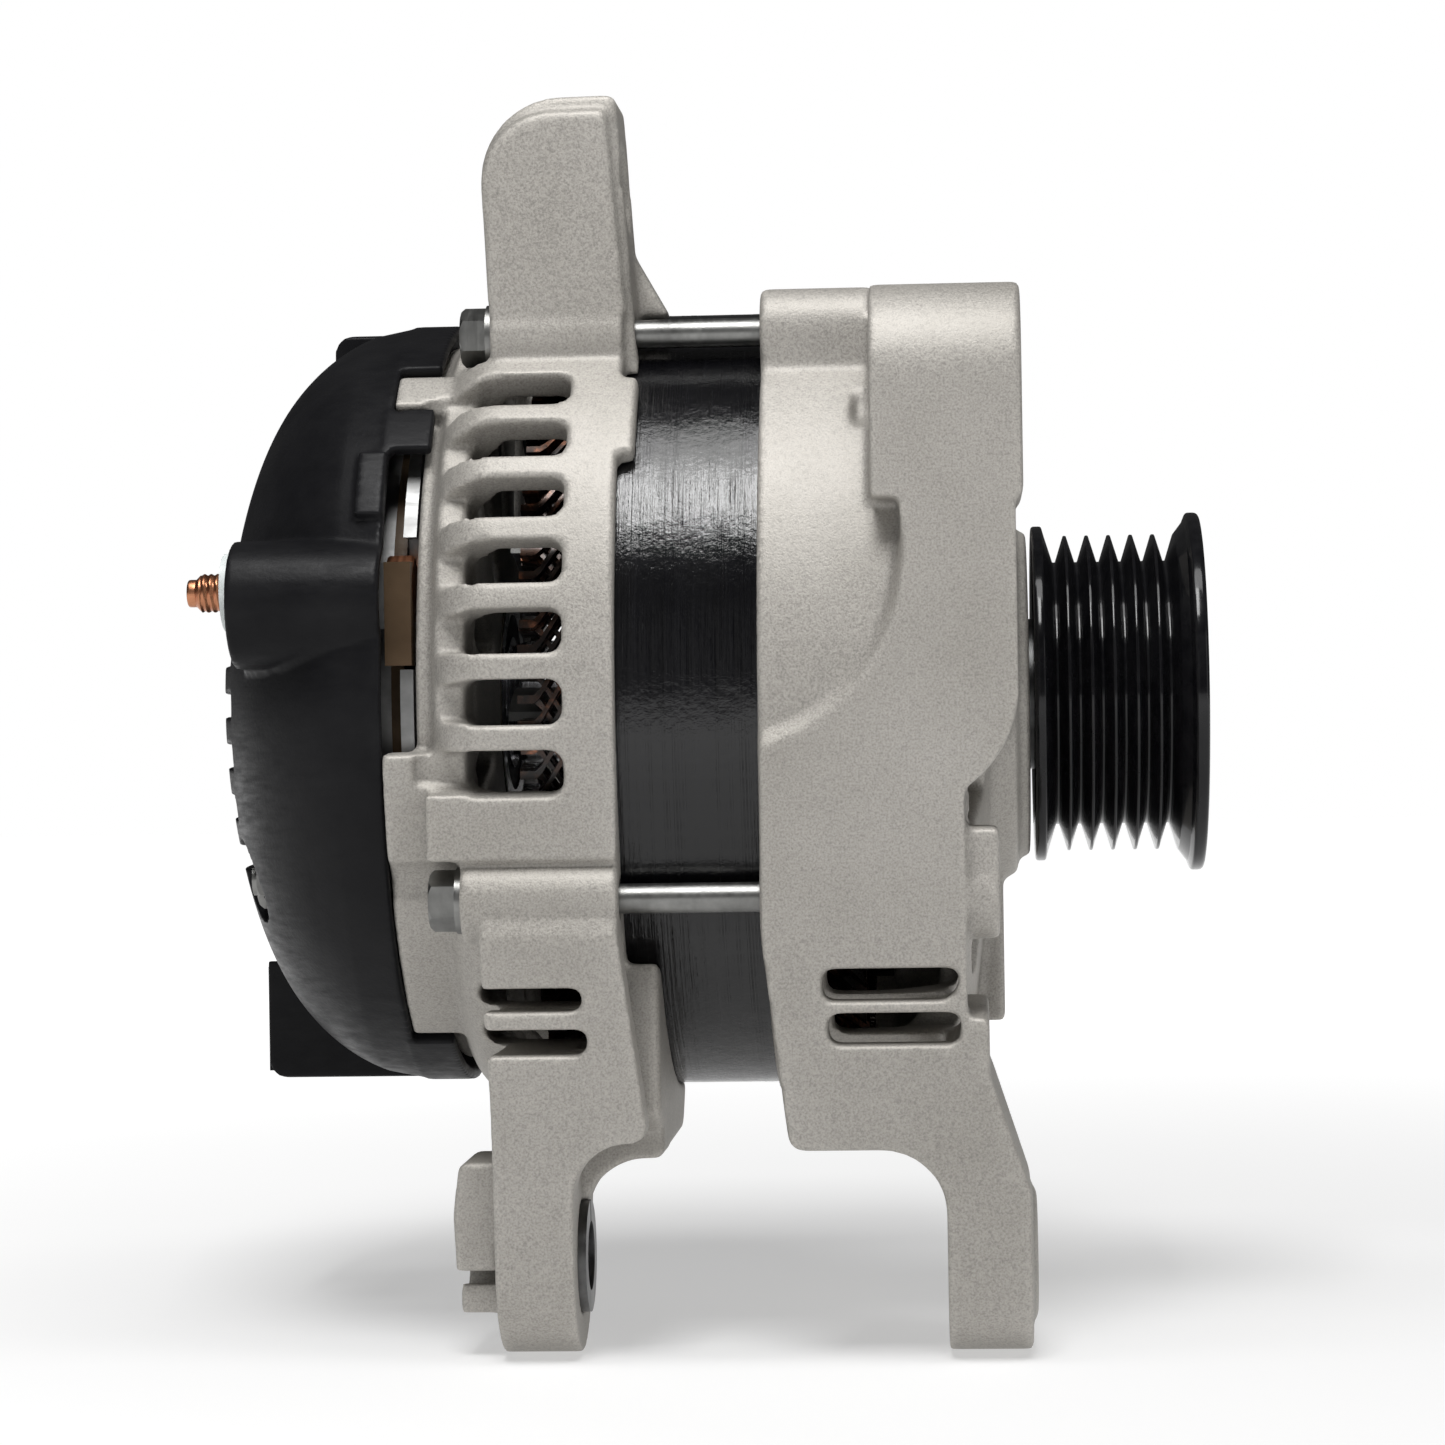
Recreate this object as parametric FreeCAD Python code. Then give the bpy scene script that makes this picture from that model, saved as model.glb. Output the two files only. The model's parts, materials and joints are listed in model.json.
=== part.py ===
import FreeCAD, Part
import math
import os

# Car alternator: cast frames round an exposed stator core, claw-pole rotor, six-groove pulley,
# plastic rear cover. Millimetres. The shaft lies along X, the pulley end is +X and the pivot ears
# hang at -Z. The origin is where the shaft axis crosses the middle of the six belt grooves.
# Angles round the shaft are counted from -Y towards +Z.

V = FreeCAD.Vector
ORIGIN = V(0, 0, 0)
SHAFT = V(1, 0, 0)
PARTS = {}

# ---- driving dimensions -------------------------------------------------------------------

# belt pulley
RIB_PITCH = 3.56
RIB_COUNT = 6
PULLEY_TIP_R = 25.6
PULLEY_VALLEY_R = 21.3
PULLEY_REAR_X = -12.6
PULLEY_FRONT_X = 14.5
FRONT_FLANGE_R = 29.0
REAR_FLANGE_R = 27.2
PULLEY_WEB_X = 2.0
PULLEY_RECESS_R = 17.5

# stator
CORE_R = 62.5
CORE_BORE_R = 49.65
CORE_REAR_X = -78.0
CORE_FRONT_X = -51.0
SLOT_COUNT = 96
SLOT_WIDTH = 1.7
SLOT_BOTTOM_R = 58.6
BAR_WIDTH = 1.3
BAR_TOP_R = 51.2
BAR_BOTTOM_R = 58.3
CROWN_OUT = 12.5

# rotor
ROTOR_R = 49.3
POLE_FRONT_X = -46.2
POLE_REAR_X = -82.8
POLE_DISC = 10.0
POLE_CORE_R = 26.0
POLE_PAIRS = 8
CLAW_ROOT_HALF = 8.2
CLAW_TIP_HALF = 3.4
CLAW_TIP_STOP = 1.8
SHAFT_R = 10.0
FRONT_SEAT_R = 8.5
REAR_SEAT_R = 7.5
SHAFT_TAIL_R = 5.5
SHAFT_FRONT_X = 13.0
SHAFT_REAR_X = -133.0
FAN_R = 47.0
FAN_HEIGHT = 9.0
FAN_SHEET = 1.2
FAN_BLADES = 11

# bearings: (front face X, width, outer radius, bore radius, ball radius, ball circle radius, balls)
FRONT_BEARING = (-17.2, 14.0, 23.5, FRONT_SEAT_R, 4.35, 16.0, 8)
REAR_BEARING = (-97.5, 11.0, 17.5, REAR_SEAT_R, 3.0, 12.5, 9)
BALL_PLAY = 0.02

# slip rings and brushes
RING_R = 7.3
RING_CORE_R = 6.4
RING_WIDTH = 7.6
RING_CENTRES_X = (-117.2, -127.0)
BRUSH_GAP = 0.03
BRUSH_X = 5.6
BRUSH_Y = 4.4
BRUSH_LENGTH = 13.0
BRUSH_FIT = 0.08
SPRING_R = 2.0
SPRING_WIRE = 0.35
SPRING_TURNS = 6
HOLDER_BOTTOM_Z = -33.0

# through bolts, M5
BOLT_CIRCLE_R = 66.0
BOLT_ANGLES = (59.0, -27.0, 239.0, 153.0)
BOLT_HEAD_SEAT_X = (-95.9, -98.8, -97.0, -97.0)
BOLT_SHANK_R = 2.25
BOLT_THREAD_R = 2.5
BOLT_HEAD_AF = 8.0
BOLT_HEAD_HEIGHT = 4.0
BOLT_END_X = -30.0

# cast frames
REAR_FRAME_R = 66.0
REAR_FRAME_EDGE_X = -75.2
REAR_FRAME_BACK_X = -103.5
REAR_RIM_X = -105.8
REAR_RIM_R = (54.0, 58.0)
REAR_FRAME_INSIDE_R = 61.0
DRIVE_FRAME_R = 64.5
DRIVE_FRAME_EDGE_X = -54.2
DRIVE_FRAME_FRONT_X = -15.4
DRIVE_FRAME_INSIDE_R = 59.5
HUB_FRONT_X = -13.4
HUB_R = 26.4
ARM_EDGE_X = -23.8
BOSS_R = 6.6
VENT_PITCH = 9.35
VENT_WIDTH = 6.8
VENT_X = (-98.0, -83.0)

# pivot ears, upper ear and rear lug
PIVOT_Y = -45.0
PIVOT_Z = -85.0
PIVOT_EAR_R = 14.5
PIVOT_HOLE_R = 5.25
FRONT_EAR_X = (-27.3, -14.6)
REAR_EAR_X = (-95.0, -83.0)
BUSH_R = 8.5
BUSH_FIT = 0.02
UPPER_EAR_Y = -51.0
UPPER_EAR_Z = 46.6
UPPER_EAR_R = 15.0
UPPER_EAR_X = (-37.0, -14.4)
UPPER_EAR_HOLE_R = 5.25
LUG_HOLE_R = 4.25
LUG_HOLE_Y = -31.0
LUG_HOLE_Z = 80.0
LUG_X = (-97.4, -73.6)
LUG_SPOT_X = (-96.8, -76.4)
ARM_FACE_Y = -66.0
ARM_TOE_Y = -60.6
CREASE_Z = -35.6
REAR_APRON_BOTTOM_Z = -66.4
FRONT_APRON_BOTTOM_Z = -67.8
APRON_TOE_Z = -70.6
APRON_THICK = 7.0

# rear cover, rectifier and plug
COVER_RIM_X = -110.6
COVER_RIM_R = 61.6
COVER_WALL = 2.2
COVER_DOME = ((-142.4, 0.0), (-141.6, 20.0), (-139.6, 30.0), (-136.5, 40.0), (-131.2, 50.0),
              (-125.4, 56.0), (-117.8, 60.2))
STUD_Y = -50.5
STUD_Z = 17.0
STUD_R = 3.0
STUD_TIP_X = -141.3
STUD_FREE_X = -135.8
SHROUD_R = 9.7
SHROUD_Y = -52.4
SHROUD_Z = 15.0
SHROUD_END_X = -133.9
PLUG_X = (-140.4, -112.0)
PLUG_Y = (8.0, 34.0)
PLUG_Z = (-60.8, -43.5)
PLUG_WALL = 2.0
HOOD_BOTTOM_Z = -61.9
COVER_TABS = ((39.0, 47.0), (58.0, 118.0), (144.0, 156.0), (236.0, 300.0))
COVER_TAB_X = -104.2
COVER_STUD_R = 41.0
COVER_STUD_ANGLES = (80.0, 200.0, 318.0)
COVER_NUT_SEAT_X = -130.0
REGULATOR_X = (-126.6, -114.6)
PLATE_BACK_X = -106.3
NEGATIVE_THICK = 2.0
POSITIVE_THICK = 3.6
INSULATOR_THICK = 2.0
PLATE_OUT_R = 56.0
PLATE_IN_R = 27.0
DIODE_R = 5.4
DIODE_CIRCLE_R = 41.0
DIODE_ANGLES = (-24.0, -6.0, 12.0, 30.0, 48.0, 64.0, 96.0, 114.0, 132.0, 150.0, 168.0, 184.0)


# ---- helpers ------------------------------------------------------------------------------

def rod(x0, x1, radius, y=0.0, z=0.0):
    return Part.makeCylinder(radius, abs(x1 - x0), V(min(x0, x1), y, z), SHAFT)


def tube(x0, x1, outer, inner, y=0.0, z=0.0):
    return rod(x0, x1, outer, y, z).cut(rod(x0 - 1, x1 + 1, inner, y, z) if x1 > x0
                                        else rod(x0 + 1, x1 - 1, inner, y, z))


def block(x, y, z):
    corner = V(min(x), min(y), min(z))
    return Part.makeBox(abs(x[1] - x[0]), abs(y[1] - y[0]), abs(z[1] - z[0]), corner)


def rounded_wire(corners):
    """Closed wire through (point, radius) corners, each corner rounded by a tangent arc."""
    ends = []
    edges = []
    count = len(corners)
    for index, (point, radius) in enumerate(corners):
        back = (corners[index - 1][0] - point).normalize()
        ahead = (corners[(index + 1) % count][0] - point).normalize()
        if radius == 0:
            ends.append((point, point, None))
            continue
        half = back.getAngle(ahead) / 2
        reach = radius / math.tan(half)
        middle = point + (back + ahead).normalize() * (radius / math.sin(half) - radius)
        ends.append((point + back * reach, point + ahead * reach, middle))
    for index, (start, finish, middle) in enumerate(ends):
        if middle is not None:
            edges.append(Part.Arc(start, middle, finish).toShape())
        following = ends[(index + 1) % count][0]
        if (following - finish).Length > 1e-6:
            edges.append(Part.LineSegment(finish, following).toShape())
    return Part.Wire(edges)


def turned(outline):
    """Solid of revolution about the shaft from an (x, r) or (x, r, corner radius) outline."""
    corners = [(V(point[0], 0, point[1]), point[2] if len(point) > 2 else 0) for point in outline]
    return Part.Face(rounded_wire(corners)).revolve(ORIGIN, SHAFT, 360)


def side_slab(outline, y0, y1):
    """Outline of (x, z[, corner radius]) points, carried from y0 to y1."""
    corners = [(V(point[0], y0, point[1]), point[2] if len(point) > 2 else 0) for point in outline]
    return Part.Face(rounded_wire(corners)).extrude(V(0, y1 - y0, 0))


def end_slab(outline, x0, x1):
    """Outline of (y, z[, corner radius]) points, carried from x0 to x1."""
    corners = [(V(x0, point[0], point[1]), point[2] if len(point) > 2 else 0) for point in outline]
    return Part.Face(rounded_wire(corners)).extrude(V(x1 - x0, 0, 0))


def at_angle(shape, angle):
    """Turn a shape built on the -Y side to another angle round the shaft."""
    copy = shape.copy()
    copy.rotate(ORIGIN, SHAFT, -angle)
    return copy


def on_circle(radius, angle):
    return (-radius * math.cos(math.radians(angle)), radius * math.sin(math.radians(angle)))


def wedge(x0, x1, from_angle, to_angle):
    """Sector of space between two angles round the shaft."""
    reach = 90.0
    steps = 4
    points = [(0.0, 0.0)]
    for step in range(steps + 1):
        points.append(on_circle(reach, from_angle + (to_angle - from_angle) * step / steps))
    return end_slab(points, x0, x1)


def joined(shapes):
    return shapes[0].multiFuse(shapes[1:]).removeSplitter()


def drilled(shape, cutters):
    return shape.cut(Part.makeCompound(cutters))


def hexagon(x0, x1, across_flats, y=0.0, z=0.0):
    corner_r = across_flats / math.sqrt(3)
    points = []
    for step in range(6):
        turn = math.radians(60 * step + 30)
        points.append((y + corner_r * math.cos(turn), z + corner_r * math.sin(turn)))
    prism = end_slab(points, x0, x1)
    cone_r = across_flats / 2 * 1.02
    grow = abs(x1 - x0) * 1.7
    direction = V(1 if x1 < x0 else -1, 0, 0)
    cone = Part.makeCone(cone_r, cone_r + grow, grow, V(x1, y, z), direction)
    return prism.common(cone)


def keep(name, shape):
    PARTS[name] = shape


# ---- pulley, nut and collar ---------------------------------------------------------------

def pulley():
    tip_half = RIB_PITCH / 2 - (PULLEY_TIP_R - PULLEY_VALLEY_R) * math.tan(math.radians(19))
    outline = [(PULLEY_REAR_X, 13.0), (PULLEY_REAR_X, REAR_FLANGE_R - 0.6)]
    outline.append((PULLEY_REAR_X + 0.7, REAR_FLANGE_R))
    outline.append((PULLEY_REAR_X + 1.4, REAR_FLANGE_R - 0.6))
    for rib in range(RIB_COUNT):
        centre = (rib - (RIB_COUNT - 1) / 2) * RIB_PITCH
        outline.append((centre - RIB_PITCH / 2 + tip_half, PULLEY_TIP_R))
        outline.append((centre - 0.25, PULLEY_VALLEY_R))
        outline.append((centre + 0.25, PULLEY_VALLEY_R))
        outline.append((centre + RIB_PITCH / 2 - tip_half, PULLEY_TIP_R))
    outline.append((PULLEY_FRONT_X - 2.3, FRONT_FLANGE_R - 0.9))
    outline.append((PULLEY_FRONT_X - 1.6, FRONT_FLANGE_R))
    outline.append((PULLEY_FRONT_X - 0.7, FRONT_FLANGE_R))
    outline.append((PULLEY_FRONT_X, FRONT_FLANGE_R - 0.9))
    outline.append((PULLEY_FRONT_X, PULLEY_RECESS_R + 1.2))
    outline.append((PULLEY_FRONT_X - 1.2, PULLEY_RECESS_R))
    outline.append((PULLEY_WEB_X, PULLEY_RECESS_R))
    outline.append((PULLEY_WEB_X, FRONT_SEAT_R))
    outline.append((PULLEY_REAR_X, FRONT_SEAT_R))
    return turned(outline)


def pulley_nut():
    flange = turned([(PULLEY_WEB_X, 8.0), (PULLEY_WEB_X, 14.0), (PULLEY_WEB_X + 1.2, 14.0),
                     (PULLEY_WEB_X + 2.2, 12.0), (PULLEY_WEB_X + 2.2, 8.0)])
    body = hexagon(PULLEY_WEB_X + 2, PULLEY_WEB_X + 9.5, 22.0)
    body = body.cut(rod(0, 20, 8.0))
    return joined([flange, body])


# ---- bearings -----------------------------------------------------------------------------

def bearing(prefix, sizes):
    front, width, outer, bore, ball_r, circle_r, balls = sizes
    back = front - width
    middle = front - width / 2
    race = Part.makeTorus(circle_r, ball_r + BALL_PLAY, V(middle, 0, 0), SHAFT)
    land = ball_r * 0.62
    keep(prefix + "_bearing_outer_ring", tube(back, front, outer, circle_r + land).cut(race))
    keep(prefix + "_bearing_inner_ring", tube(back, front, circle_r - land, bore).cut(race))
    spheres = []
    pockets = []
    for index in range(balls):
        y, z = on_circle(circle_r, index * 360.0 / balls)
        spheres.append(Part.makeSphere(ball_r, V(middle, y, z)))
        pockets.append(Part.makeSphere(ball_r + 0.08, V(middle, y, z)))
    keep(prefix + "_bearing_balls", Part.makeCompound(spheres))
    cage = tube(middle - ball_r - 0.6, middle + ball_r + 0.6, circle_r + 0.9, circle_r - 0.9)
    keep(prefix + "_bearing_cage", drilled(cage, pockets))
    seal_in = circle_r - land + 0.15
    seal_out = circle_r + land
    seals = [tube(front - 1.0, front - 0.2, seal_out, seal_in),
             tube(back + 0.2, back + 1.0, seal_out, seal_in)]
    keep(prefix + "_bearing_seals", Part.makeCompound(seals))


# ---- rotor --------------------------------------------------------------------------------

def rotor_shaft():
    front_seat_x = FRONT_BEARING[0] - FRONT_BEARING[1]
    return turned([(SHAFT_FRONT_X, 0), (SHAFT_FRONT_X, 7.2), (SHAFT_FRONT_X - 0.8, 8.0),
                   (PULLEY_WEB_X, 8.0), (PULLEY_WEB_X, FRONT_SEAT_R),
                   (front_seat_x, FRONT_SEAT_R), (front_seat_x, 11.4),
                   (POLE_FRONT_X + FAN_SHEET, 11.4), (POLE_FRONT_X + FAN_SHEET, SHAFT_R),
                   (-95.0, SHAFT_R), (-97.5, 9.2), (-97.5, REAR_SEAT_R), (-111.0, REAR_SEAT_R),
                   (-111.0, SHAFT_TAIL_R), (SHAFT_REAR_X, SHAFT_TAIL_R), (SHAFT_REAR_X, 0)])


def claw_pole(first_angle):
    """Front pole; its eight tapered claws reach back over the coil."""
    disc_x = POLE_FRONT_X - POLE_DISC
    tip_x = POLE_REAR_X + CLAW_TIP_STOP
    middle_x = (POLE_FRONT_X + POLE_REAR_X) / 2
    claw_zone = turned([(POLE_FRONT_X, 28.0), (POLE_FRONT_X, ROTOR_R - 2.4),
                        (POLE_FRONT_X - 3.0, ROTOR_R), (tip_x, ROTOR_R), (tip_x, 44.6),
                        (disc_x, 36.4), (disc_x, 28.0)])
    claws = []
    for index in range(POLE_PAIRS):
        outline = [(POLE_FRONT_X, -CLAW_ROOT_HALF), (disc_x, -CLAW_ROOT_HALF),
                   (tip_x, -CLAW_TIP_HALF), (tip_x, CLAW_TIP_HALF),
                   (disc_x, CLAW_ROOT_HALF), (POLE_FRONT_X, CLAW_ROOT_HALF)]
        claw = side_slab(outline, -60.0, -27.0)
        claws.append(at_angle(claw, first_angle + index * 360.0 / POLE_PAIRS).common(claw_zone))
    core = turned([(POLE_FRONT_X, SHAFT_R), (POLE_FRONT_X, 31.0), (disc_x, 31.0),
                   (disc_x, POLE_CORE_R), (middle_x, POLE_CORE_R), (middle_x, SHAFT_R)])
    return joined([core] + claws)


def mirrored_pole(pole):
    middle_x = (POLE_FRONT_X + POLE_REAR_X) / 2
    return at_angle(pole.mirror(V(middle_x, 0, 0), SHAFT), 180.0 / POLE_PAIRS)


def coil_bobbin():
    front = POLE_FRONT_X - POLE_DISC
    back = POLE_REAR_X + POLE_DISC
    return turned([(back, POLE_CORE_R), (back, 35.6), (back + 1.3, 35.6), (back + 1.3, 27.2),
                   (front - 1.3, 27.2), (front - 1.3, 35.6), (front, 35.6), (front, POLE_CORE_R)])


def field_coil():
    front = POLE_FRONT_X - POLE_DISC - 1.3
    back = POLE_REAR_X + POLE_DISC + 1.3
    return turned([(back, 27.2), (back, 34.4), (back + 1.2, 35.2), (front - 1.2, 35.2),
                   (front, 34.4), (front, 27.2)])


def fan(root_x, towards):
    """Pressed sheet fan: a disc against the pole and curved blades standing off it."""
    face_x = root_x + towards * FAN_SHEET
    tip_x = face_x + towards * FAN_HEIGHT
    disc = tube(min(root_x, face_x), max(root_x, face_x), 36.0, SHAFT_R)
    blade_wall = tube(min(root_x, tip_x), max(root_x, tip_x), 24.0, 24.0 - FAN_SHEET, -34.0, -22.0)
    zone = tube(min(root_x, tip_x), max(root_x, tip_x), FAN_R, 31.0)
    window = block((root_x - 20, root_x + 20), (-60, -20), (-6, 20))
    blade = blade_wall.common(zone).common(window)
    foot = block((root_x, face_x), (-46.0, -33.0), (-5.0, 1.5)).common(rod(root_x, face_x, FAN_R))
    pieces = [disc]
    for index in range(FAN_BLADES):
        angle = index * 360.0 / FAN_BLADES
        pieces.append(at_angle(blade, angle))
        pieces.append(at_angle(foot, angle))
    return joined(pieces)


def slip_rings():
    rings = []
    for centre in RING_CENTRES_X:
        rings.append(tube(centre - RING_WIDTH / 2, centre + RING_WIDTH / 2, RING_R, RING_CORE_R))
    keep("slip_rings", Part.makeCompound(rings))
    front = max(RING_CENTRES_X) + RING_WIDTH / 2
    back = min(RING_CENTRES_X) - RING_WIDTH / 2
    sleeve = tube(back - 1.0, front + 1.0, RING_CORE_R, SHAFT_TAIL_R)
    barrier = tube(min(RING_CENTRES_X) + RING_WIDTH / 2, max(RING_CENTRES_X) - RING_WIDTH / 2,
                   RING_R + 0.1, SHAFT_TAIL_R)
    keep("slip_ring_insulator", joined([sleeve, barrier]))


# ---- stator -------------------------------------------------------------------------------

def stator_core():
    ring = tube(CORE_REAR_X, CORE_FRONT_X, CORE_R, CORE_BORE_R)
    slot = block((CORE_REAR_X - 1, CORE_FRONT_X + 1), (-SLOT_BOTTOM_R, -50.6),
                 (-SLOT_WIDTH / 2, SLOT_WIDTH / 2))
    mouth = block((CORE_REAR_X - 1, CORE_FRONT_X + 1), (-51.0, -48.0), (-0.45, 0.45))
    cutter = slot.fuse(mouth)
    cutters = [at_angle(cutter, index * 360.0 / SLOT_COUNT) for index in range(SLOT_COUNT)]
    return drilled(ring, cutters)


def stator_winding():
    """Bars in the slots, joined by a crown of end turns at each end."""
    bar = block((CORE_REAR_X - 2, CORE_FRONT_X + 2), (-BAR_BOTTOM_R, -BAR_TOP_R),
                (-BAR_WIDTH / 2, BAR_WIDTH / 2))
    bars = [at_angle(bar, index * 360.0 / SLOT_COUNT) for index in range(SLOT_COUNT)]
    front = turned([(CORE_FRONT_X + 1.5, 51.0), (CORE_FRONT_X + 1.5, 58.6),
                    (CORE_FRONT_X + CROWN_OUT - 2, 58.4, 1.5), (CORE_FRONT_X + CROWN_OUT, 55.0),
                    (CORE_FRONT_X + CROWN_OUT - 2, 51.0, 1.5)])
    rear = front.mirror(V((CORE_FRONT_X + CORE_REAR_X) / 2, 0, 0), SHAFT)
    return front.multiFuse([rear] + bars)


# ---- cast frames --------------------------------------------------------------------------

def rear_vents():
    """Radial openings round the rear frame's wall, with a shallow run-out over its shoulder."""
    x0, x1 = VENT_X
    half = VENT_WIDTH / 2
    through = side_slab([(x0, -half, 1.6), (x1, -half, 2.0), (x1, half, 2.0), (x0, half, 1.6)],
                        -80.0, -50.0)
    run_out = side_slab([(x0 - 8, -half + 1.2, 1.0), (x0 + 4, -half, 0), (x0 + 4, half, 0),
                         (x0 - 8, half - 1.2, 1.0)], -80.0, -60.6)
    vent = through.fuse(run_out)
    near = [46.4 - step * VENT_PITCH for step in range(7)]
    top = [88.0 + step * VENT_PITCH for step in range(6)]
    far = [168.0 + step * VENT_PITCH for step in range(7)]
    bottom = [252.0 + step * VENT_PITCH for step in range(4)]
    return [at_angle(vent, angle) for angle in near + top + far + bottom]


def face_windows(count, inner, outer, x0, x1, width, first=0.0):
    """Radial windows through an end wall."""
    window = end_slab([(-outer, -width / 2, 2.0), (-inner, -width / 2 + 1.2, 1.5),
                       (-inner, width / 2 - 1.2, 1.5), (-outer, width / 2, 2.0)], x0, x1)
    return [at_angle(window, first + index * 360.0 / count) for index in range(count)]


def apron(outline, ear_x):
    """Sloping side plate that narrows to a pivot ear."""
    section = [(ARM_FACE_Y, CREASE_Z), (ARM_TOE_Y, APRON_TOE_Z),
               (PIVOT_Y - PIVOT_EAR_R, PIVOT_Z), (PIVOT_Y - PIVOT_EAR_R + APRON_THICK, PIVOT_Z),
               (ARM_TOE_Y + APRON_THICK, APRON_TOE_Z),
               (ARM_FACE_Y + APRON_THICK, CREASE_Z), (-48.0, -20.0), (-62.0, -22.0)]
    plate = end_slab(section, -100.0, -10.0).common(side_slab(outline, -90.0, -20.0))
    ear = end_slab([(PIVOT_Y - PIVOT_EAR_R, PIVOT_Z), (ARM_TOE_Y, APRON_TOE_Z),
                    (ARM_FACE_Y + 1.5, -48.0), (-40.0, -46.0), (-20.0, -58.0),
                    (PIVOT_Y + PIVOT_EAR_R, PIVOT_Z)], ear_x[0], ear_x[1])
    knuckle = rod(ear_x[0], ear_x[1], PIVOT_EAR_R, PIVOT_Y, PIVOT_Z)
    return joined([plate, ear, knuckle])


def apron_slots(slots):
    """Level vents that pass through the side plate and the round wall behind it."""
    cutters = []
    for x0, x1, z0, z1, end_r in slots:
        cutters.append(side_slab([(x0, z0, 1.4), (x1, z0, end_r), (x1, z1, 1.4), (x0, z1, 1.4)],
                                 -80.0, -24.0))
    return cutters


def bolt_bosses(ends_x, edge_x, radius):
    bosses = []
    for angle, end_x in zip(BOLT_ANGLES, ends_x):
        y, z = on_circle(BOLT_CIRCLE_R, angle)
        bosses.append(rod(end_x, edge_x, radius, y, z))
    return bosses


def bolt_holes(x0, x1, radius):
    holes = []
    for angle in BOLT_ANGLES:
        y, z = on_circle(BOLT_CIRCLE_R, angle)
        holes.append(rod(x0, x1, radius, y, z))
    return holes


def rear_lug():
    x0, x1 = LUG_X
    base = side_slab([(x1 + 0.6, 50.0), (x1 - 2.4, 93.4, 1.5), (x0 - 0.2, 93.0, 12.5),
                      (x0 + 1.4, 58.0, 0), (x0 + 1.4, 50.0)], -38.2, -22.5)
    pad = side_slab([(x1 - 1.2, 59.5), (x1 - 3.9, 90.9, 1.2), (x0, 90.4, 11.0),
                     (x0 + 1.4, 59.5)], -40.2, -38.0)
    gusset = side_slab([(x1 - 2, 59.6), (x1 + 5.0, 59.6), (x1 - 2, 72.0)], -29.0, -22.5)
    return [base, pad, gusset]


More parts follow.
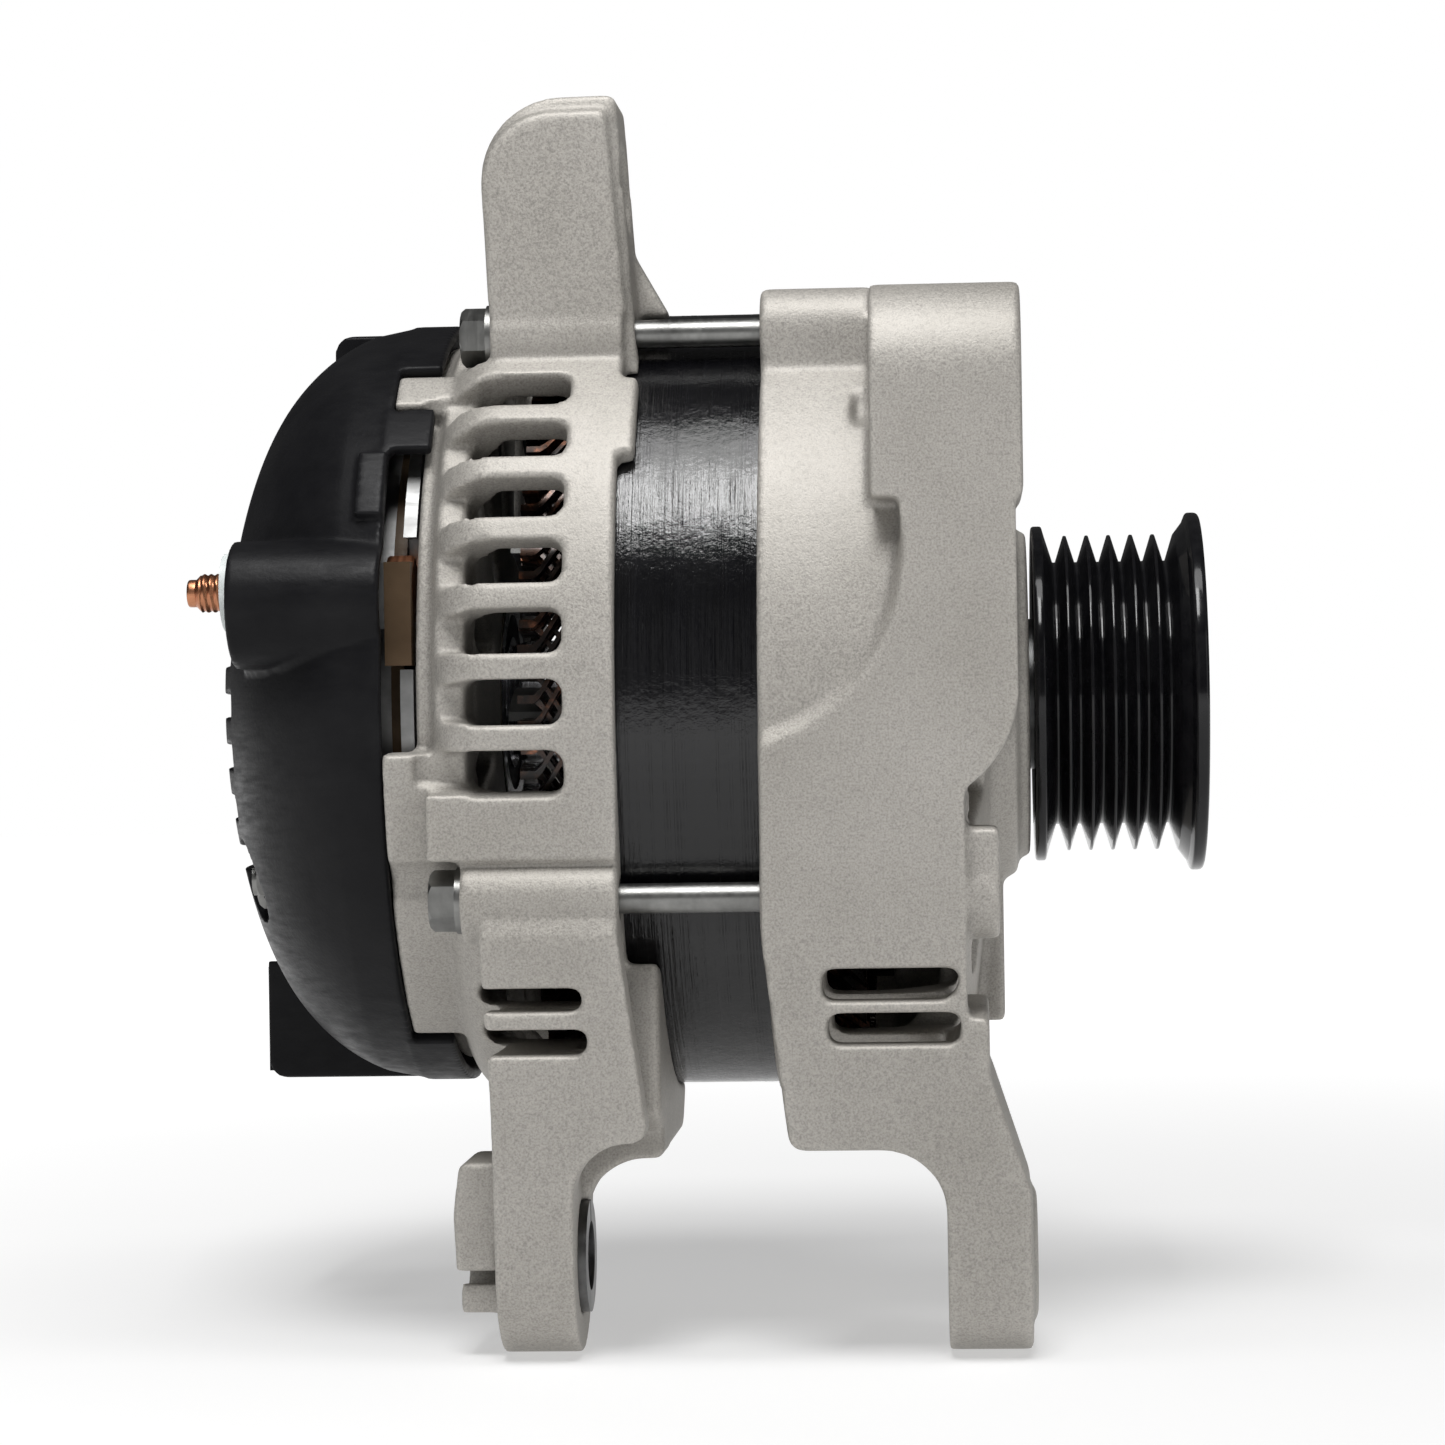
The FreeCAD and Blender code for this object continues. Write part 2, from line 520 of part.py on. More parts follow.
def rear_frame():
    outer = turned([(REAR_FRAME_EDGE_X, 0), (REAR_FRAME_EDGE_X, REAR_FRAME_R),
                    (REAR_FRAME_BACK_X, REAR_FRAME_R, 10.0), (REAR_FRAME_BACK_X, 23.5),
                    (-110.5, 23.0, 1.0), (-110.5, 0)])
    cavity = turned([(REAR_FRAME_EDGE_X + 30, 0), (REAR_FRAME_EDGE_X + 30, CORE_R),
                     (CORE_REAR_X, CORE_R), (CORE_REAR_X, REAR_FRAME_INSIDE_R),
                     (-93.0, REAR_FRAME_INSIDE_R), (-97.5, 55.0), (-97.5, 18.5), (-108.5, 18.5),
                     (-108.5, 12.0), (-112.0, 12.0), (-112.0, 0)])
    bosses = bolt_bosses(BOLT_HEAD_SEAT_X, REAR_FRAME_EDGE_X, BOSS_R)
    slots = apron_slots([(-98.0, -80.8, -46.4, -42.9, 1.6), (-98.0, -80.2, -52.9, -49.1, 1.6)])
    edge = REAR_FRAME_EDGE_X
    outline = [(edge, -20.0), (edge, CREASE_Z), (-71.4, REAR_APRON_BOTTOM_Z, 2.5),
               (REAR_EAR_X[1], REAR_APRON_BOTTOM_Z, 8.5), (REAR_EAR_X[1], PIVOT_Z),
               (REAR_EAR_X[0], PIVOT_Z), (REAR_EAR_X[0], -60.0), (-96.0, CREASE_Z), (-96.0, -20.0)]
    lower = apron(outline, REAR_EAR_X)
    back_web = end_slab([(-52.0, -40.0), (-52.0, -63.0), (-38.0, -69.6), (-6.0, -69.6, 4.0),
                         (2.0, -62.0), (2.0, -50.0)], -94.0, -70.2)
    hollow = block((-89.5, -76.5), (-50.0, -8.0), (-90.0, -30.0))
    web = back_web.cut(hollow)
    web_foot = side_slab([(-90.0, -64.0), (-70.2, -64.0), (-70.2, -70.2, 1.5),
                          (REAR_EAR_X[1], -70.2, 10.0), (REAR_EAR_X[1], -84.0), (-90.0, -84.0)],
                         -46.0, -34.0)
    ear_block = side_slab([(-101.2, -70.0, 1.5), (-102.2, -78.0, 6.0), (-101.8, -86.5, 0),
                           (-95.0, -86.5), (-95.0, -70.0)], -52.0, -34.0)
    lower_block = block((-101.3, -95.0), (-50.0, -38.0), (-93.0, -86.5))
    raised_rim = tube(REAR_RIM_X, -103.0, REAR_RIM_R[1], REAR_RIM_R[0])
    pad_zone = tube(COVER_RIM_X + 0.05, -100.0, 62.0, PLATE_OUT_R + 1.0)
    seat_pad = pad_zone.common(wedge(-112.0, -98.0, -24.0, -7.5))
    seat_wall = tube(COVER_RIM_X + 0.05, -100.0, 60.9, PLATE_OUT_R + 1.0)
    seat_wall = seat_wall.common(wedge(-112.0, -98.0, -59.0, -20.0))
    upper_pad = pad_zone.common(wedge(-112.0, -98.0, 47.6, 57.4))
    side_pad = block((-103.6, edge), (-64.6, -54.0), (-24.0, -14.0))
    far_pads = [pad_zone.common(wedge(-112.0, -98.0, angle - 6.0, angle + 6.0))
                for angle in (134.0, 205.0)]
    lip = tube(REAR_FRAME_EDGE_X - 1, -72.6, REAR_FRAME_R, CORE_R + 0.05)
    lip = lip.common(at_angle(block((-80, -70), (-70, -50), (-8.0, 8.0)), 41.5))
    solid = joined([outer] + bosses + rear_lug() + far_pads
                   + [lower, web, web_foot, ear_block, lower_block, raised_rim, seat_pad,
                      seat_wall, upper_pad, side_pad])
    rear_hole = rod(-110, REAR_EAR_X[0] - 0.1, 5.6, PIVOT_Y, PIVOT_Z)
    bush_hole = rod(REAR_EAR_X[0] - 0.1, -70, BUSH_R + BUSH_FIT, PIVOT_Y, PIVOT_Z)
    lug_hole = rod(LUG_X[0] - 5, LUG_X[1] + 5, LUG_HOLE_R, LUG_HOLE_Y, LUG_HOLE_Z)
    lug_spots = [rod(LUG_SPOT_X[0] - 9, LUG_SPOT_X[0], 6.6, LUG_HOLE_Y, LUG_HOLE_Z),
                 rod(LUG_SPOT_X[1], LUG_SPOT_X[1] + 9, 6.6, LUG_HOLE_Y, LUG_HOLE_Z)]
    holes = bolt_holes(-104.0, -50.0, BOLT_THREAD_R + 0.1)
    for (angle, seat) in zip(BOLT_ANGLES, BOLT_HEAD_SEAT_X):
        y, z = on_circle(BOLT_CIRCLE_R, angle)
        holes.append(rod(-112.0, seat, 6.2, y, z))
    holes = holes + slots + rear_vents() + [lug_hole, rear_hole, bush_hole] + lug_spots
    holes = holes + face_windows(12, 27.0, 50.0, -104.0, -97.0, 8.0, 15.0)
    for angle in COVER_STUD_ANGLES:
        y, z = on_circle(COVER_STUD_R, angle)
        holes.append(rod(-104.0, -98.5, 2.5, y, z))
    return drilled(solid.cut(cavity), holes).fuse(lip)


def arm_face(y, hollow_top, hollow_middle, hollow_end):
    """Outline of the arm at one depth; its hollowed back edge is an arc through three points."""
    front = DRIVE_FRAME_FRONT_X - 0.2
    top = 46.0
    corners = [V(-33.0, y, top), V(hollow_top[0], y, hollow_top[1]),
               V(hollow_middle[0], y, hollow_middle[1]), V(hollow_end[0], y, hollow_end[1]),
               V(hollow_end[0], y, CREASE_Z), V(ARM_EDGE_X, y, CREASE_Z), V(ARM_EDGE_X, y, -14.2),
               V(-18.1, y, -8.3), V(front, y, -1.0), V(front, y, top)]
    edges = [Part.LineSegment(corners[0], corners[1]).toShape(),
             Part.Arc(corners[1], corners[2], corners[3]).toShape(),
             Part.LineSegment(corners[3], corners[4]).toShape(),
             Part.LineSegment(corners[4], corners[5]).toShape(),
             Part.LineSegment(corners[5], corners[6]).toShape(),
             Part.Arc(corners[6], corners[7], corners[8]).toShape(),
             Part.LineSegment(corners[8], corners[9]).toShape(),
             Part.LineSegment(corners[9], corners[0]).toShape()]
    return Part.Wire(edges)


def arm_slab():
    """Flat-faced arm from the upper ear down to the apron, its hollowed edge ramped to the wall."""
    face = arm_face(ARM_FACE_Y, (-32.6, 24.0), (-38.6, 2.6), (-54.1, -7.7))
    foot = arm_face(-61.6, (-32.6, 24.0), (-40.2, 7.6), (-54.1, -0.6))
    ramp = Part.makeLoft([face, foot], True, True)
    depth = Part.Face(foot).extrude(V(0, 35.6, 0))
    return ramp.fuse(depth)


def drive_end_frame():
    front = DRIVE_FRAME_FRONT_X
    outer = turned([(DRIVE_FRAME_EDGE_X, 0), (DRIVE_FRAME_EDGE_X, DRIVE_FRAME_R),
                    (-28.0, DRIVE_FRAME_R, 9.0), (-22.5, 50.0, 4.0), (-20.0, 31.0, 3.0),
                    (front, 29.0, 1.0), (front, HUB_R), (HUB_FRONT_X, HUB_R, 0.6),
                    (HUB_FRONT_X, 0)])
    cavity = turned([(DRIVE_FRAME_EDGE_X - 30, 0), (DRIVE_FRAME_EDGE_X - 30, CORE_R),
                     (CORE_FRONT_X, CORE_R), (CORE_FRONT_X, DRIVE_FRAME_INSIDE_R),
                     (-36.0, DRIVE_FRAME_INSIDE_R), (-28.5, 52.0), (-27.0, 33.5), (-31.2, 32.5),
                     (-31.2, 23.5), (-17.2, 23.5), (-17.2, 20.5), (-10.0, 20.5), (-10.0, 0)])
    bosses = bolt_bosses((-37.0, -18.8, -31.0, -31.0), DRIVE_FRAME_EDGE_X, BOSS_R)
    upper_ear = rod(UPPER_EAR_X[0], UPPER_EAR_X[1], UPPER_EAR_R, UPPER_EAR_Y, UPPER_EAR_Z)
    ear_root = block(UPPER_EAR_X, (ARM_FACE_Y, -34.0), (28.9, UPPER_EAR_Z))
    boss_root = end_slab([(-40.0, 30.0), (-40.6, 56.0), (-34.0, 63.0), (-20.0, 60.0)], -53.6, -36.0)
    slots = apron_slots([(-45.2, -25.0, -45.3, -40.5, 3.0), (-44.4, -24.8, -51.8, -47.1, 1.6)])
    rear_x, front_x = FRONT_EAR_X
    outline = [(-54.1, -20.0), (-54.1, CREASE_Z), (-50.5, FRONT_APRON_BOTTOM_Z, 2.5),
               (rear_x, FRONT_APRON_BOTTOM_Z, 9.5), (rear_x, PIVOT_Z), (front_x, PIVOT_Z),
               (front_x, -74.5), (-20.6, -56.5, 3.0), (ARM_EDGE_X, -53.5), (ARM_EDGE_X, -20.0)]
    relief = side_slab([(-20.6, -40.0), (-20.6, -56.5), (front_x, -74.5), (-10.0, -74.5),
                        (-10.0, -40.0)], -90.0, 0.0)
    lower = apron(outline, FRONT_EAR_X).cut(relief)
    bolt_box = block((-40.0, -18.7), (-64.6, -52.0), (-32.6, -19.8))
    box_window = block((-22.0, -20.6), (-70.0, -60.5), (-32.0, -28.4))
    chin = block((-27.5, -17.9), (-9.0, 9.0), (-52.5, -28.0))
    ear_pad = rod(FRONT_EAR_X[1], FRONT_EAR_X[1] + 0.8, 9.5, PIVOT_Y, PIVOT_Z)
    solid = joined([outer, arm_slab(), upper_ear, ear_root, boss_root, lower, ear_pad, bolt_box,
                    chin] + bosses)
    holes = bolt_holes(-60.0, BOLT_END_X + 1.0, BOLT_THREAD_R)
    holes.append(rod(-60, 0, PIVOT_HOLE_R, PIVOT_Y, PIVOT_Z))
    holes.append(rod(UPPER_EAR_X[0], 0, UPPER_EAR_HOLE_R, UPPER_EAR_Y, UPPER_EAR_Z))
    holes.append(rod(UPPER_EAR_X[0] - 3, UPPER_EAR_X[0], 6.2, UPPER_EAR_Y, UPPER_EAR_Z))
    holes.append(box_window)
    holes = holes + slots
    vent = side_slab([(-48.0, -3.4, 1.6), (-33.0, -3.4, 2.0), (-33.0, 3.4, 2.0),
                      (-48.0, 3.4, 1.6)], -80.0, -50.0)
    angles = [78.0 + step * VENT_PITCH for step in range(7)]
    angles = angles + [168.0 + step * VENT_PITCH for step in range(7)]
    holes = holes + [at_angle(vent, angle) for angle in angles]
    holes = holes + face_windows(10, 35.5, 51.0, -30.0, -10.0, 10.0, 18.0)
    for index in range(4):
        y, z = on_circle(27.6, 45.0 + index * 90.0)
        holes.append(rod(-32.0, -22.0, 2.0, y, z))
    return drilled(solid.cut(cavity), holes)


# ---- fasteners and bushes -----------------------------------------------------------------

def through_bolts():
    bolts = []
    for angle, seat in zip(BOLT_ANGLES, BOLT_HEAD_SEAT_X):
        y, z = on_circle(BOLT_CIRCLE_R, angle)
        head = hexagon(seat, seat - BOLT_HEAD_HEIGHT - 0.9, BOLT_HEAD_AF, y, z)
        washer = rod(seat - 0.9, seat, 5.0, y, z)
        shank = rod(seat, DRIVE_FRAME_EDGE_X, BOLT_SHANK_R, y, z)
        thread = rod(DRIVE_FRAME_EDGE_X, BOLT_END_X, BOLT_THREAD_R, y, z)
        bolts.append(joined([head, washer, shank, thread]))
    return Part.makeCompound(bolts)


def retainer_plate():
    plate = tube(-33.2, -31.2, 32.0, 17.5)
    screws = []
    holes = []
    for index in range(4):
        y, z = on_circle(27.6, 45.0 + index * 90.0)
        holes.append(rod(-34.0, -30.0, 2.0, y, z))
        screws.append(joined([rod(-35.0, -33.2, 3.6, y, z), rod(-33.2, -22.5, 2.0, y, z)]))
    keep("bearing_retainer_plate", drilled(plate, holes))
    keep("retainer_screws", Part.makeCompound(screws))


def ear_bush():
    body = tube(REAR_EAR_X[0] + 0.4, REAR_EAR_X[1] + 1.2, BUSH_R, PIVOT_HOLE_R, PIVOT_Y, PIVOT_Z)
    split = block((-100, -70), (PIVOT_Y - 0.5, PIVOT_Y + 0.5), (PIVOT_Z, PIVOT_Z + 12))
    return body.cut(split)


# ---- rectifier ----------------------------------------------------------------------------

def horseshoe(x0, x1, outer, inner, open_from, open_to):
    """Ring plate with a wedge left open between two angles."""
    return tube(x0, x1, outer, inner).cut(wedge(x0 - 1, x1 + 1, open_from, open_to))


def rectifier():
    back = PLATE_BACK_X
    middle = back - NEGATIVE_THICK
    front = middle - INSULATOR_THICK
    top = front - POSITIVE_THICK
    negative = horseshoe(middle, back, PLATE_OUT_R, PLATE_IN_R, 232.0, 300.0)
    terminal_gap = block((middle - 1, back + 1), (-60.0, -44.0), (4.8, 25.0))
    insulator = horseshoe(front, middle, PLATE_OUT_R - 4.5, PLATE_IN_R + 1, 232.0, 300.0)
    bridge = block((front, back), (-57.6, -47.4), (5.4, 21.0))
    positive = horseshoe(top, front, PLATE_OUT_R - 5.0, PLATE_IN_R + 3, 236.0, 296.0)
    positive = positive.fuse(block((top, front), (-56.0, -44.0), (11.0, 21.0)))
    stud_hole = rod(top - 5, back + 5, STUD_R, STUD_Y, STUD_Z)
    head_room = rod(front, back + 5, 5.4, STUD_Y, STUD_Z)
    post_holes = []
    for angle in COVER_STUD_ANGLES:
        y, z = on_circle(COVER_STUD_R, angle)
        post_holes.append(rod(top - 5, back + 5, 3.6, y, z))
    negative_spots = [on_circle(DIODE_CIRCLE_R, angle) for angle in DIODE_ANGLES[::2]]
    positive_spots = [on_circle(DIODE_CIRCLE_R, angle) for angle in DIODE_ANGLES[1::2]]
    sockets = [rod(middle - 1, back + 1, DIODE_R, y, z) for y, z in negative_spots]
    upper_holes = [rod(top - 5, middle, DIODE_R + 0.6, y, z) for y, z in negative_spots]
    upper_sockets = [rod(top - 5, front + 5, DIODE_R, y, z) for y, z in positive_spots]
    keep("rectifier_negative_plate",
         drilled(negative, [terminal_gap, head_room] + post_holes + sockets))
    keep("rectifier_insulator",
         drilled(insulator.fuse(bridge), [head_room] + post_holes + upper_holes + upper_sockets))
    keep("rectifier_positive_plate",
         drilled(positive, [stud_hole] + post_holes + upper_holes + upper_sockets))
    diodes = [rod(top - 1.5, back - 0.2, DIODE_R, y, z) for y, z in negative_spots]
    diodes = diodes + [rod(top - 1.5, front, DIODE_R, y, z) for y, z in positive_spots]
    keep("rectifier_diodes", Part.makeCompound(diodes))
    stud = joined([hexagon(front, back - 0.2, 9.0, STUD_Y, STUD_Z),
                   rod(front + 0.5, top - 6.0, STUD_R, STUD_Y, STUD_Z),
                   rod(top - 6.0, STUD_FREE_X, STUD_R - 0.4, STUD_Y, STUD_Z),
                   rod(STUD_FREE_X, STUD_TIP_X + 0.8, STUD_R, STUD_Y, STUD_Z),
                   Part.makeCone(STUD_R - 0.7, STUD_R, 0.8, V(STUD_TIP_X, STUD_Y, STUD_Z), SHAFT)])
    keep("b_plus_stud", stud)
    keep("b_plus_nut", hexagon(top, top - 5.0, 10.0, STUD_Y, STUD_Z).cut(stud))


# ---- regulator, brushes and plug ----------------------------------------------------------

def brush_gear():
    half_x = BRUSH_X / 2
    half_y = BRUSH_Y / 2
    top_z = -RING_R - BRUSH_GAP
    low_z = top_z - BRUSH_LENGTH
    front = max(RING_CENTRES_X) + half_x + 1.6
    back = min(RING_CENTRES_X) - half_x - 1.6
    holder = block((back, front), (-half_y - 1.8, half_y + 1.8), (HOLDER_BOTTOM_Z - 2, -10.0))
    wells = []
    for name, centre in zip(("positive", "negative"), RING_CENTRES_X):
        column = (centre - half_x, centre + half_x)
        fit = BRUSH_FIT
        wells.append(block((column[0] - fit, column[1] + fit), (-half_y - fit, half_y + fit),
                           (HOLDER_BOTTOM_Z, 0)))
        brush = block(column, (-half_y, half_y), (low_z, top_z + 1.0))
        brush = brush.cut(rod(centre - 10, centre + 10, RING_R + BRUSH_GAP))
        keep("brush_" + name, brush)
        length = low_z - 0.05 - (HOLDER_BOTTOM_Z + 0.05)
        helix = Part.makeHelix((length - 2 * SPRING_WIRE) / SPRING_TURNS, length - 2 * SPRING_WIRE,
                               SPRING_R - SPRING_WIRE)
        start = V(SPRING_R - SPRING_WIRE, 0, 0)
        profile = Part.Wire(Part.makeCircle(SPRING_WIRE, start, V(0, 1, 0)))
        spring = Part.Wire(helix).makePipeShell([profile], True, True)
        spring.translate(V(centre, 0, HOLDER_BOTTOM_Z + 0.05 + SPRING_WIRE))
        keep("brush_spring_" + name, spring)
    keep("brush_holder", drilled(holder, wells))
    guard = tube(back, front - 3.2, 11.5, 9.3)
    guard = guard.cut(block((back - 1, front + 1), (-half_y - 2, half_y + 2), (-20, 0)))
    keep("slip_ring_guard", guard)


def regulator():
    back = REGULATOR_X[0]
    body = block(REGULATOR_X, (6.0, 34.0), (-42.0, -14.0)).common(rod(-130, -110, 51.0))
    plate = block((back - 1.2, back), (6.0, 29.6), (-40.0, -15.0))
    fins = [block((back - 3.0, back), (8.0 + step * 4.0, 9.6 + step * 4.0), (-38.0, -16.0))
            for step in range(5)]
    keep("regulator_body", body)
    keep("regulator_heat_sink", joined([plate] + fins).common(rod(-132, -120, 47.0)))
    x, y, z = PLUG_X, PLUG_Y, PLUG_Z
    shell = block(x, y, z)
    wall = PLUG_WALL
    hollow = block((x[0] - 1, x[1] - 8.0), (y[0] + wall, y[1] - wall), (z[0] + wall, z[1] - wall))
    neck = block((-124.0, -114.6), (12.0, 30.0), (z[1] - 0.01, -42.0))
    keep("connector_socket", joined([shell.cut(hollow), neck]))
    pins = []
    for index in range(4):
        middle = y[0] + 4.5 + index * 5.6
        pins.append(block((x[0] + 6.0, x[1] - 8.0), (middle - 0.4, middle + 0.4),
                          ((z[0] + z[1]) / 2 - 1.4, (z[0] + z[1]) / 2 + 1.4)))
    keep("connector_pins", Part.makeCompound(pins))


# ---- rear cover ---------------------------------------------------------------------------

def dome(offset):
    """Solid bounded by the cover's dome and skirt, moved inwards by an offset."""
    points = []
    for x, r in COVER_DOME:
        share = r / COVER_RIM_R
        points.append(V(x + offset * math.sqrt(1 - share ** 2), 0, r - offset * share))
    curve = Part.BSplineCurve()
    curve.interpolate(points)
    tip = points[0]
    crease = points[-1]
    rim = V(COVER_RIM_X, 0, COVER_RIM_R - offset)
    edges = [curve.toShape(), Part.LineSegment(crease, rim).toShape(),
             Part.LineSegment(rim, V(rim.x, 0, 0)).toShape(),
             Part.LineSegment(V(rim.x, 0, 0), tip).toShape()]
    return Part.Face(Part.Wire(edges)).revolve(ORIGIN, SHAFT, 360)


def cover_posts():
    """Long studs that hold the rear cover, each with its flange nut outside."""
    posts = []
    nuts = []
    for angle in COVER_STUD_ANGLES:
        y, z = on_circle(COVER_STUD_R, angle)
        posts.append(joined([rod(-98.6, COVER_NUT_SEAT_X - 5.5, 2.5, y, z),
                             rod(REAR_FRAME_BACK_X, COVER_NUT_SEAT_X + 2.2, 3.4, y, z)]))
        nut = hexagon(COVER_NUT_SEAT_X, COVER_NUT_SEAT_X - 4.5, 8.0, y, z)
        nuts.append(nut.cut(rod(-140, -120, 2.5, y, z)))
    keep("cover_studs", Part.makeCompound(posts))
    keep("cover_nuts", Part.makeCompound(nuts))


def rear_cover():
    outside = dome(0.0)
    inside = dome(COVER_WALL)
    inside.translate(V(0.05, 0, 0))
    shroud = joined([rod(SHROUD_END_X, COVER_RIM_X, SHROUD_R, SHROUD_Y, SHROUD_Z),
                     block((SHROUD_END_X, COVER_RIM_X), (SHROUD_Y, -30.0),
                           (SHROUD_Z - SHROUD_R, SHROUD_Z + SHROUD_R))])
    room_r = SHROUD_R - 2.0
    shroud_room = joined([rod(SHROUD_END_X + 3.0, COVER_RIM_X + 2, room_r, SHROUD_Y, SHROUD_Z),
                          block((SHROUD_END_X + 3.0, COVER_RIM_X + 2), (SHROUD_Y, -29.0),
                                (SHROUD_Z - room_r, SHROUD_Z + room_r))])
    top_ear = side_slab([(-126.6, 48.0), (-126.6, 60.9, 3.0), (COVER_RIM_X, 60.9),
                         (COVER_RIM_X, 48.0)], 2.0, 14.0)
    top_ear_room = block((-124.6, -104.0), (4.0, 12.0), (46.0, 58.9))
    plug_wall = 2.0
    y = (PLUG_Y[0] - plug_wall, PLUG_Y[1] + plug_wall)
    hood = side_slab([(PLUG_X[0] + 0.3, HOOD_BOTTOM_Z, 3.0), (PLUG_X[0] + 0.3, PLUG_Z[1] + 1),
                      (COVER_RIM_X, PLUG_Z[1] + 1), (COVER_RIM_X, HOOD_BOTTOM_Z)], y[0], y[1])
    hood_room = block((PLUG_X[0] - 4.0, COVER_RIM_X + 2), (PLUG_Y[0] - 0.4, PLUG_Y[1] + 0.4),
                      (PLUG_Z[0] - 0.3, PLUG_Z[1] + 4))
    cups = []
    cup_room = []
    post_holes = []
    for angle in COVER_STUD_ANGLES:
        cy, cz = on_circle(COVER_STUD_R, angle)
        cups.append(rod(-150.0, COVER_NUT_SEAT_X + 2.2, 8.2, cy, cz).common(outside))
        cup_room.append(rod(-160.0, COVER_NUT_SEAT_X, 6.4, cy, cz))
        post_holes.append(rod(-150.0, -120.0, 2.7, cy, cz))
    tabs = []
    for start, finish in COVER_TABS:
        tab = tube(COVER_RIM_X - 1.0, COVER_TAB_X, COVER_RIM_R, COVER_RIM_R - 2.0)
        tabs.append(tab.common(wedge(-120.0, -100.0, start, finish)))
    panel = tube(-115.0, COVER_RIM_X, COVER_RIM_R + 0.9, COVER_RIM_R - 3.0)
    panel = panel.common(wedge(-120.0, -100.0, 27.0, 38.0))
    shell = outside.fuse([shroud, top_ear, hood, panel]).cut(inside).fuse(cups)
    vents = []
    for row in range(7):
        z = -24.0 + row * 8.0
        half = math.sqrt(36.0 ** 2 - z ** 2)
        if abs(z) < 12:
            vents.append(block((-150, -130), (-half, -10.0), (z - 1.8, z + 1.8)))
            vents.append(block((-150, -130), (10.0, half), (z - 1.8, z + 1.8)))
        else:
            vents.append(block((-150, -130), (-half, half), (z - 1.8, z + 1.8)))
    stud_mouth = rod(-150, -130, 6.0, STUD_Y, STUD_Z)
    cutters = [shroud_room, top_ear_room, hood_room, stud_mouth] + vents + post_holes + cup_room
    return drilled(shell, cutters).fuse(tabs)


def b_plus_insulator():
    collar = tube(STUD_FREE_X + 0.2, SHROUD_END_X, 5.9, STUD_R - 0.35, STUD_Y, STUD_Z)
    return collar.fuse(tube(SHROUD_END_X - 0.1, -122.0, 5.8, STUD_R - 0.35, STUD_Y, STUD_Z))


# ---- assembly -----------------------------------------------------------------------------

def build():
    keep("pulley", pulley())
    keep("pulley_nut", pulley_nut())
    keep("spacer_collar", tube(FRONT_BEARING[0], PULLEY_REAR_X, 12.2, FRONT_SEAT_R))
    bearing("front", FRONT_BEARING)
    bearing("rear", REAR_BEARING)
    keep("rear_bearing_sleeve", tube(-108.5, -97.5, 18.5, 17.5))
    keep("rotor_shaft", rotor_shaft())
    pole = claw_pole(0.0)
    keep("front_claw_pole", pole)
    keep("rear_claw_pole", mirrored_pole(pole))
    keep("coil_bobbin", coil_bobbin())
    keep("field_coil", field_coil())
    keep("front_fan", fan(POLE_FRONT_X, 1.0))
    keep("rear_fan", fan(POLE_REAR_X, -1.0))
    slip_rings()
    keep("stator_core", stator_core())
    keep("stator_winding", stator_winding())
    keep("rear_frame", rear_frame())
    keep("drive_end_frame", drive_end_frame())
    keep("through_bolts", through_bolts())
    retainer_plate()
    keep("rear_ear_bush", ear_bush())
    rectifier()
    brush_gear()
    regulator()
    cover_posts()
    keep("rear_cover", rear_cover())
    keep("b_plus_insulator", b_plus_insulator())


build()
os.makedirs("parts", exist_ok=True)
for name, shape in PARTS.items():
    shape.exportStep("parts/" + name + ".step")
    print(name, len(shape.Solids), "solids", round(shape.Volume, 1), "mm3", shape.isValid())
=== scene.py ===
import json
import math
import random

import bmesh
import bpy
from mathutils import Matrix, Vector, noise


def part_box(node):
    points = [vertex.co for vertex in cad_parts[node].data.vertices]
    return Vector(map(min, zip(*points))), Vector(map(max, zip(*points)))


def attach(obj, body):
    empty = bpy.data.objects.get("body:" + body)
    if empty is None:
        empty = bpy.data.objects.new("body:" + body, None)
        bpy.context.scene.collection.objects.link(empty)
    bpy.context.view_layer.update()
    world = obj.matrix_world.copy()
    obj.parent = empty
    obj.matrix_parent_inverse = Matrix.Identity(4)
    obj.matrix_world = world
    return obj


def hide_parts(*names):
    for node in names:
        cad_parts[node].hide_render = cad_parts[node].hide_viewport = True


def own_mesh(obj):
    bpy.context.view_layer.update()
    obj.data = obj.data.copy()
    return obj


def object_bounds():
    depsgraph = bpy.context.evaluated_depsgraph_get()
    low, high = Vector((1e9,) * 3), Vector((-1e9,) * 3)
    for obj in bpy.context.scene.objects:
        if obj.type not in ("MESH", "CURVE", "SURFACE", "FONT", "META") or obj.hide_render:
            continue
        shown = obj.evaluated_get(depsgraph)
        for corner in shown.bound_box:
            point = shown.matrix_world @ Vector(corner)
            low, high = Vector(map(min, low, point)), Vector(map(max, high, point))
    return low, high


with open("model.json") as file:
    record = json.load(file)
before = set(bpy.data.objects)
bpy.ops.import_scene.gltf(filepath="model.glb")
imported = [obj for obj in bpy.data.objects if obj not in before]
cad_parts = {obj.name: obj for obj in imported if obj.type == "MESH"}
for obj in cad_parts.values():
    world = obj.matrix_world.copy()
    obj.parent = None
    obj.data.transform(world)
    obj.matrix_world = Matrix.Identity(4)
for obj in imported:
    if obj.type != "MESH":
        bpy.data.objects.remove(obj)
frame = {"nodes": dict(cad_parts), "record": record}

# Car alternator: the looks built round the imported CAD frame. Metres, +X out of the pulley, +Z up.
# The two castings and the rear cover are re-meshed so that their edges are rounded as a die casting's
# or a moulding's are. The pulley, output stud, laminations, winding and brush springs are new meshes.
# The rest keeps its CAD mesh with bevelled edges. Outlines are in millimetres, scaled by MM.

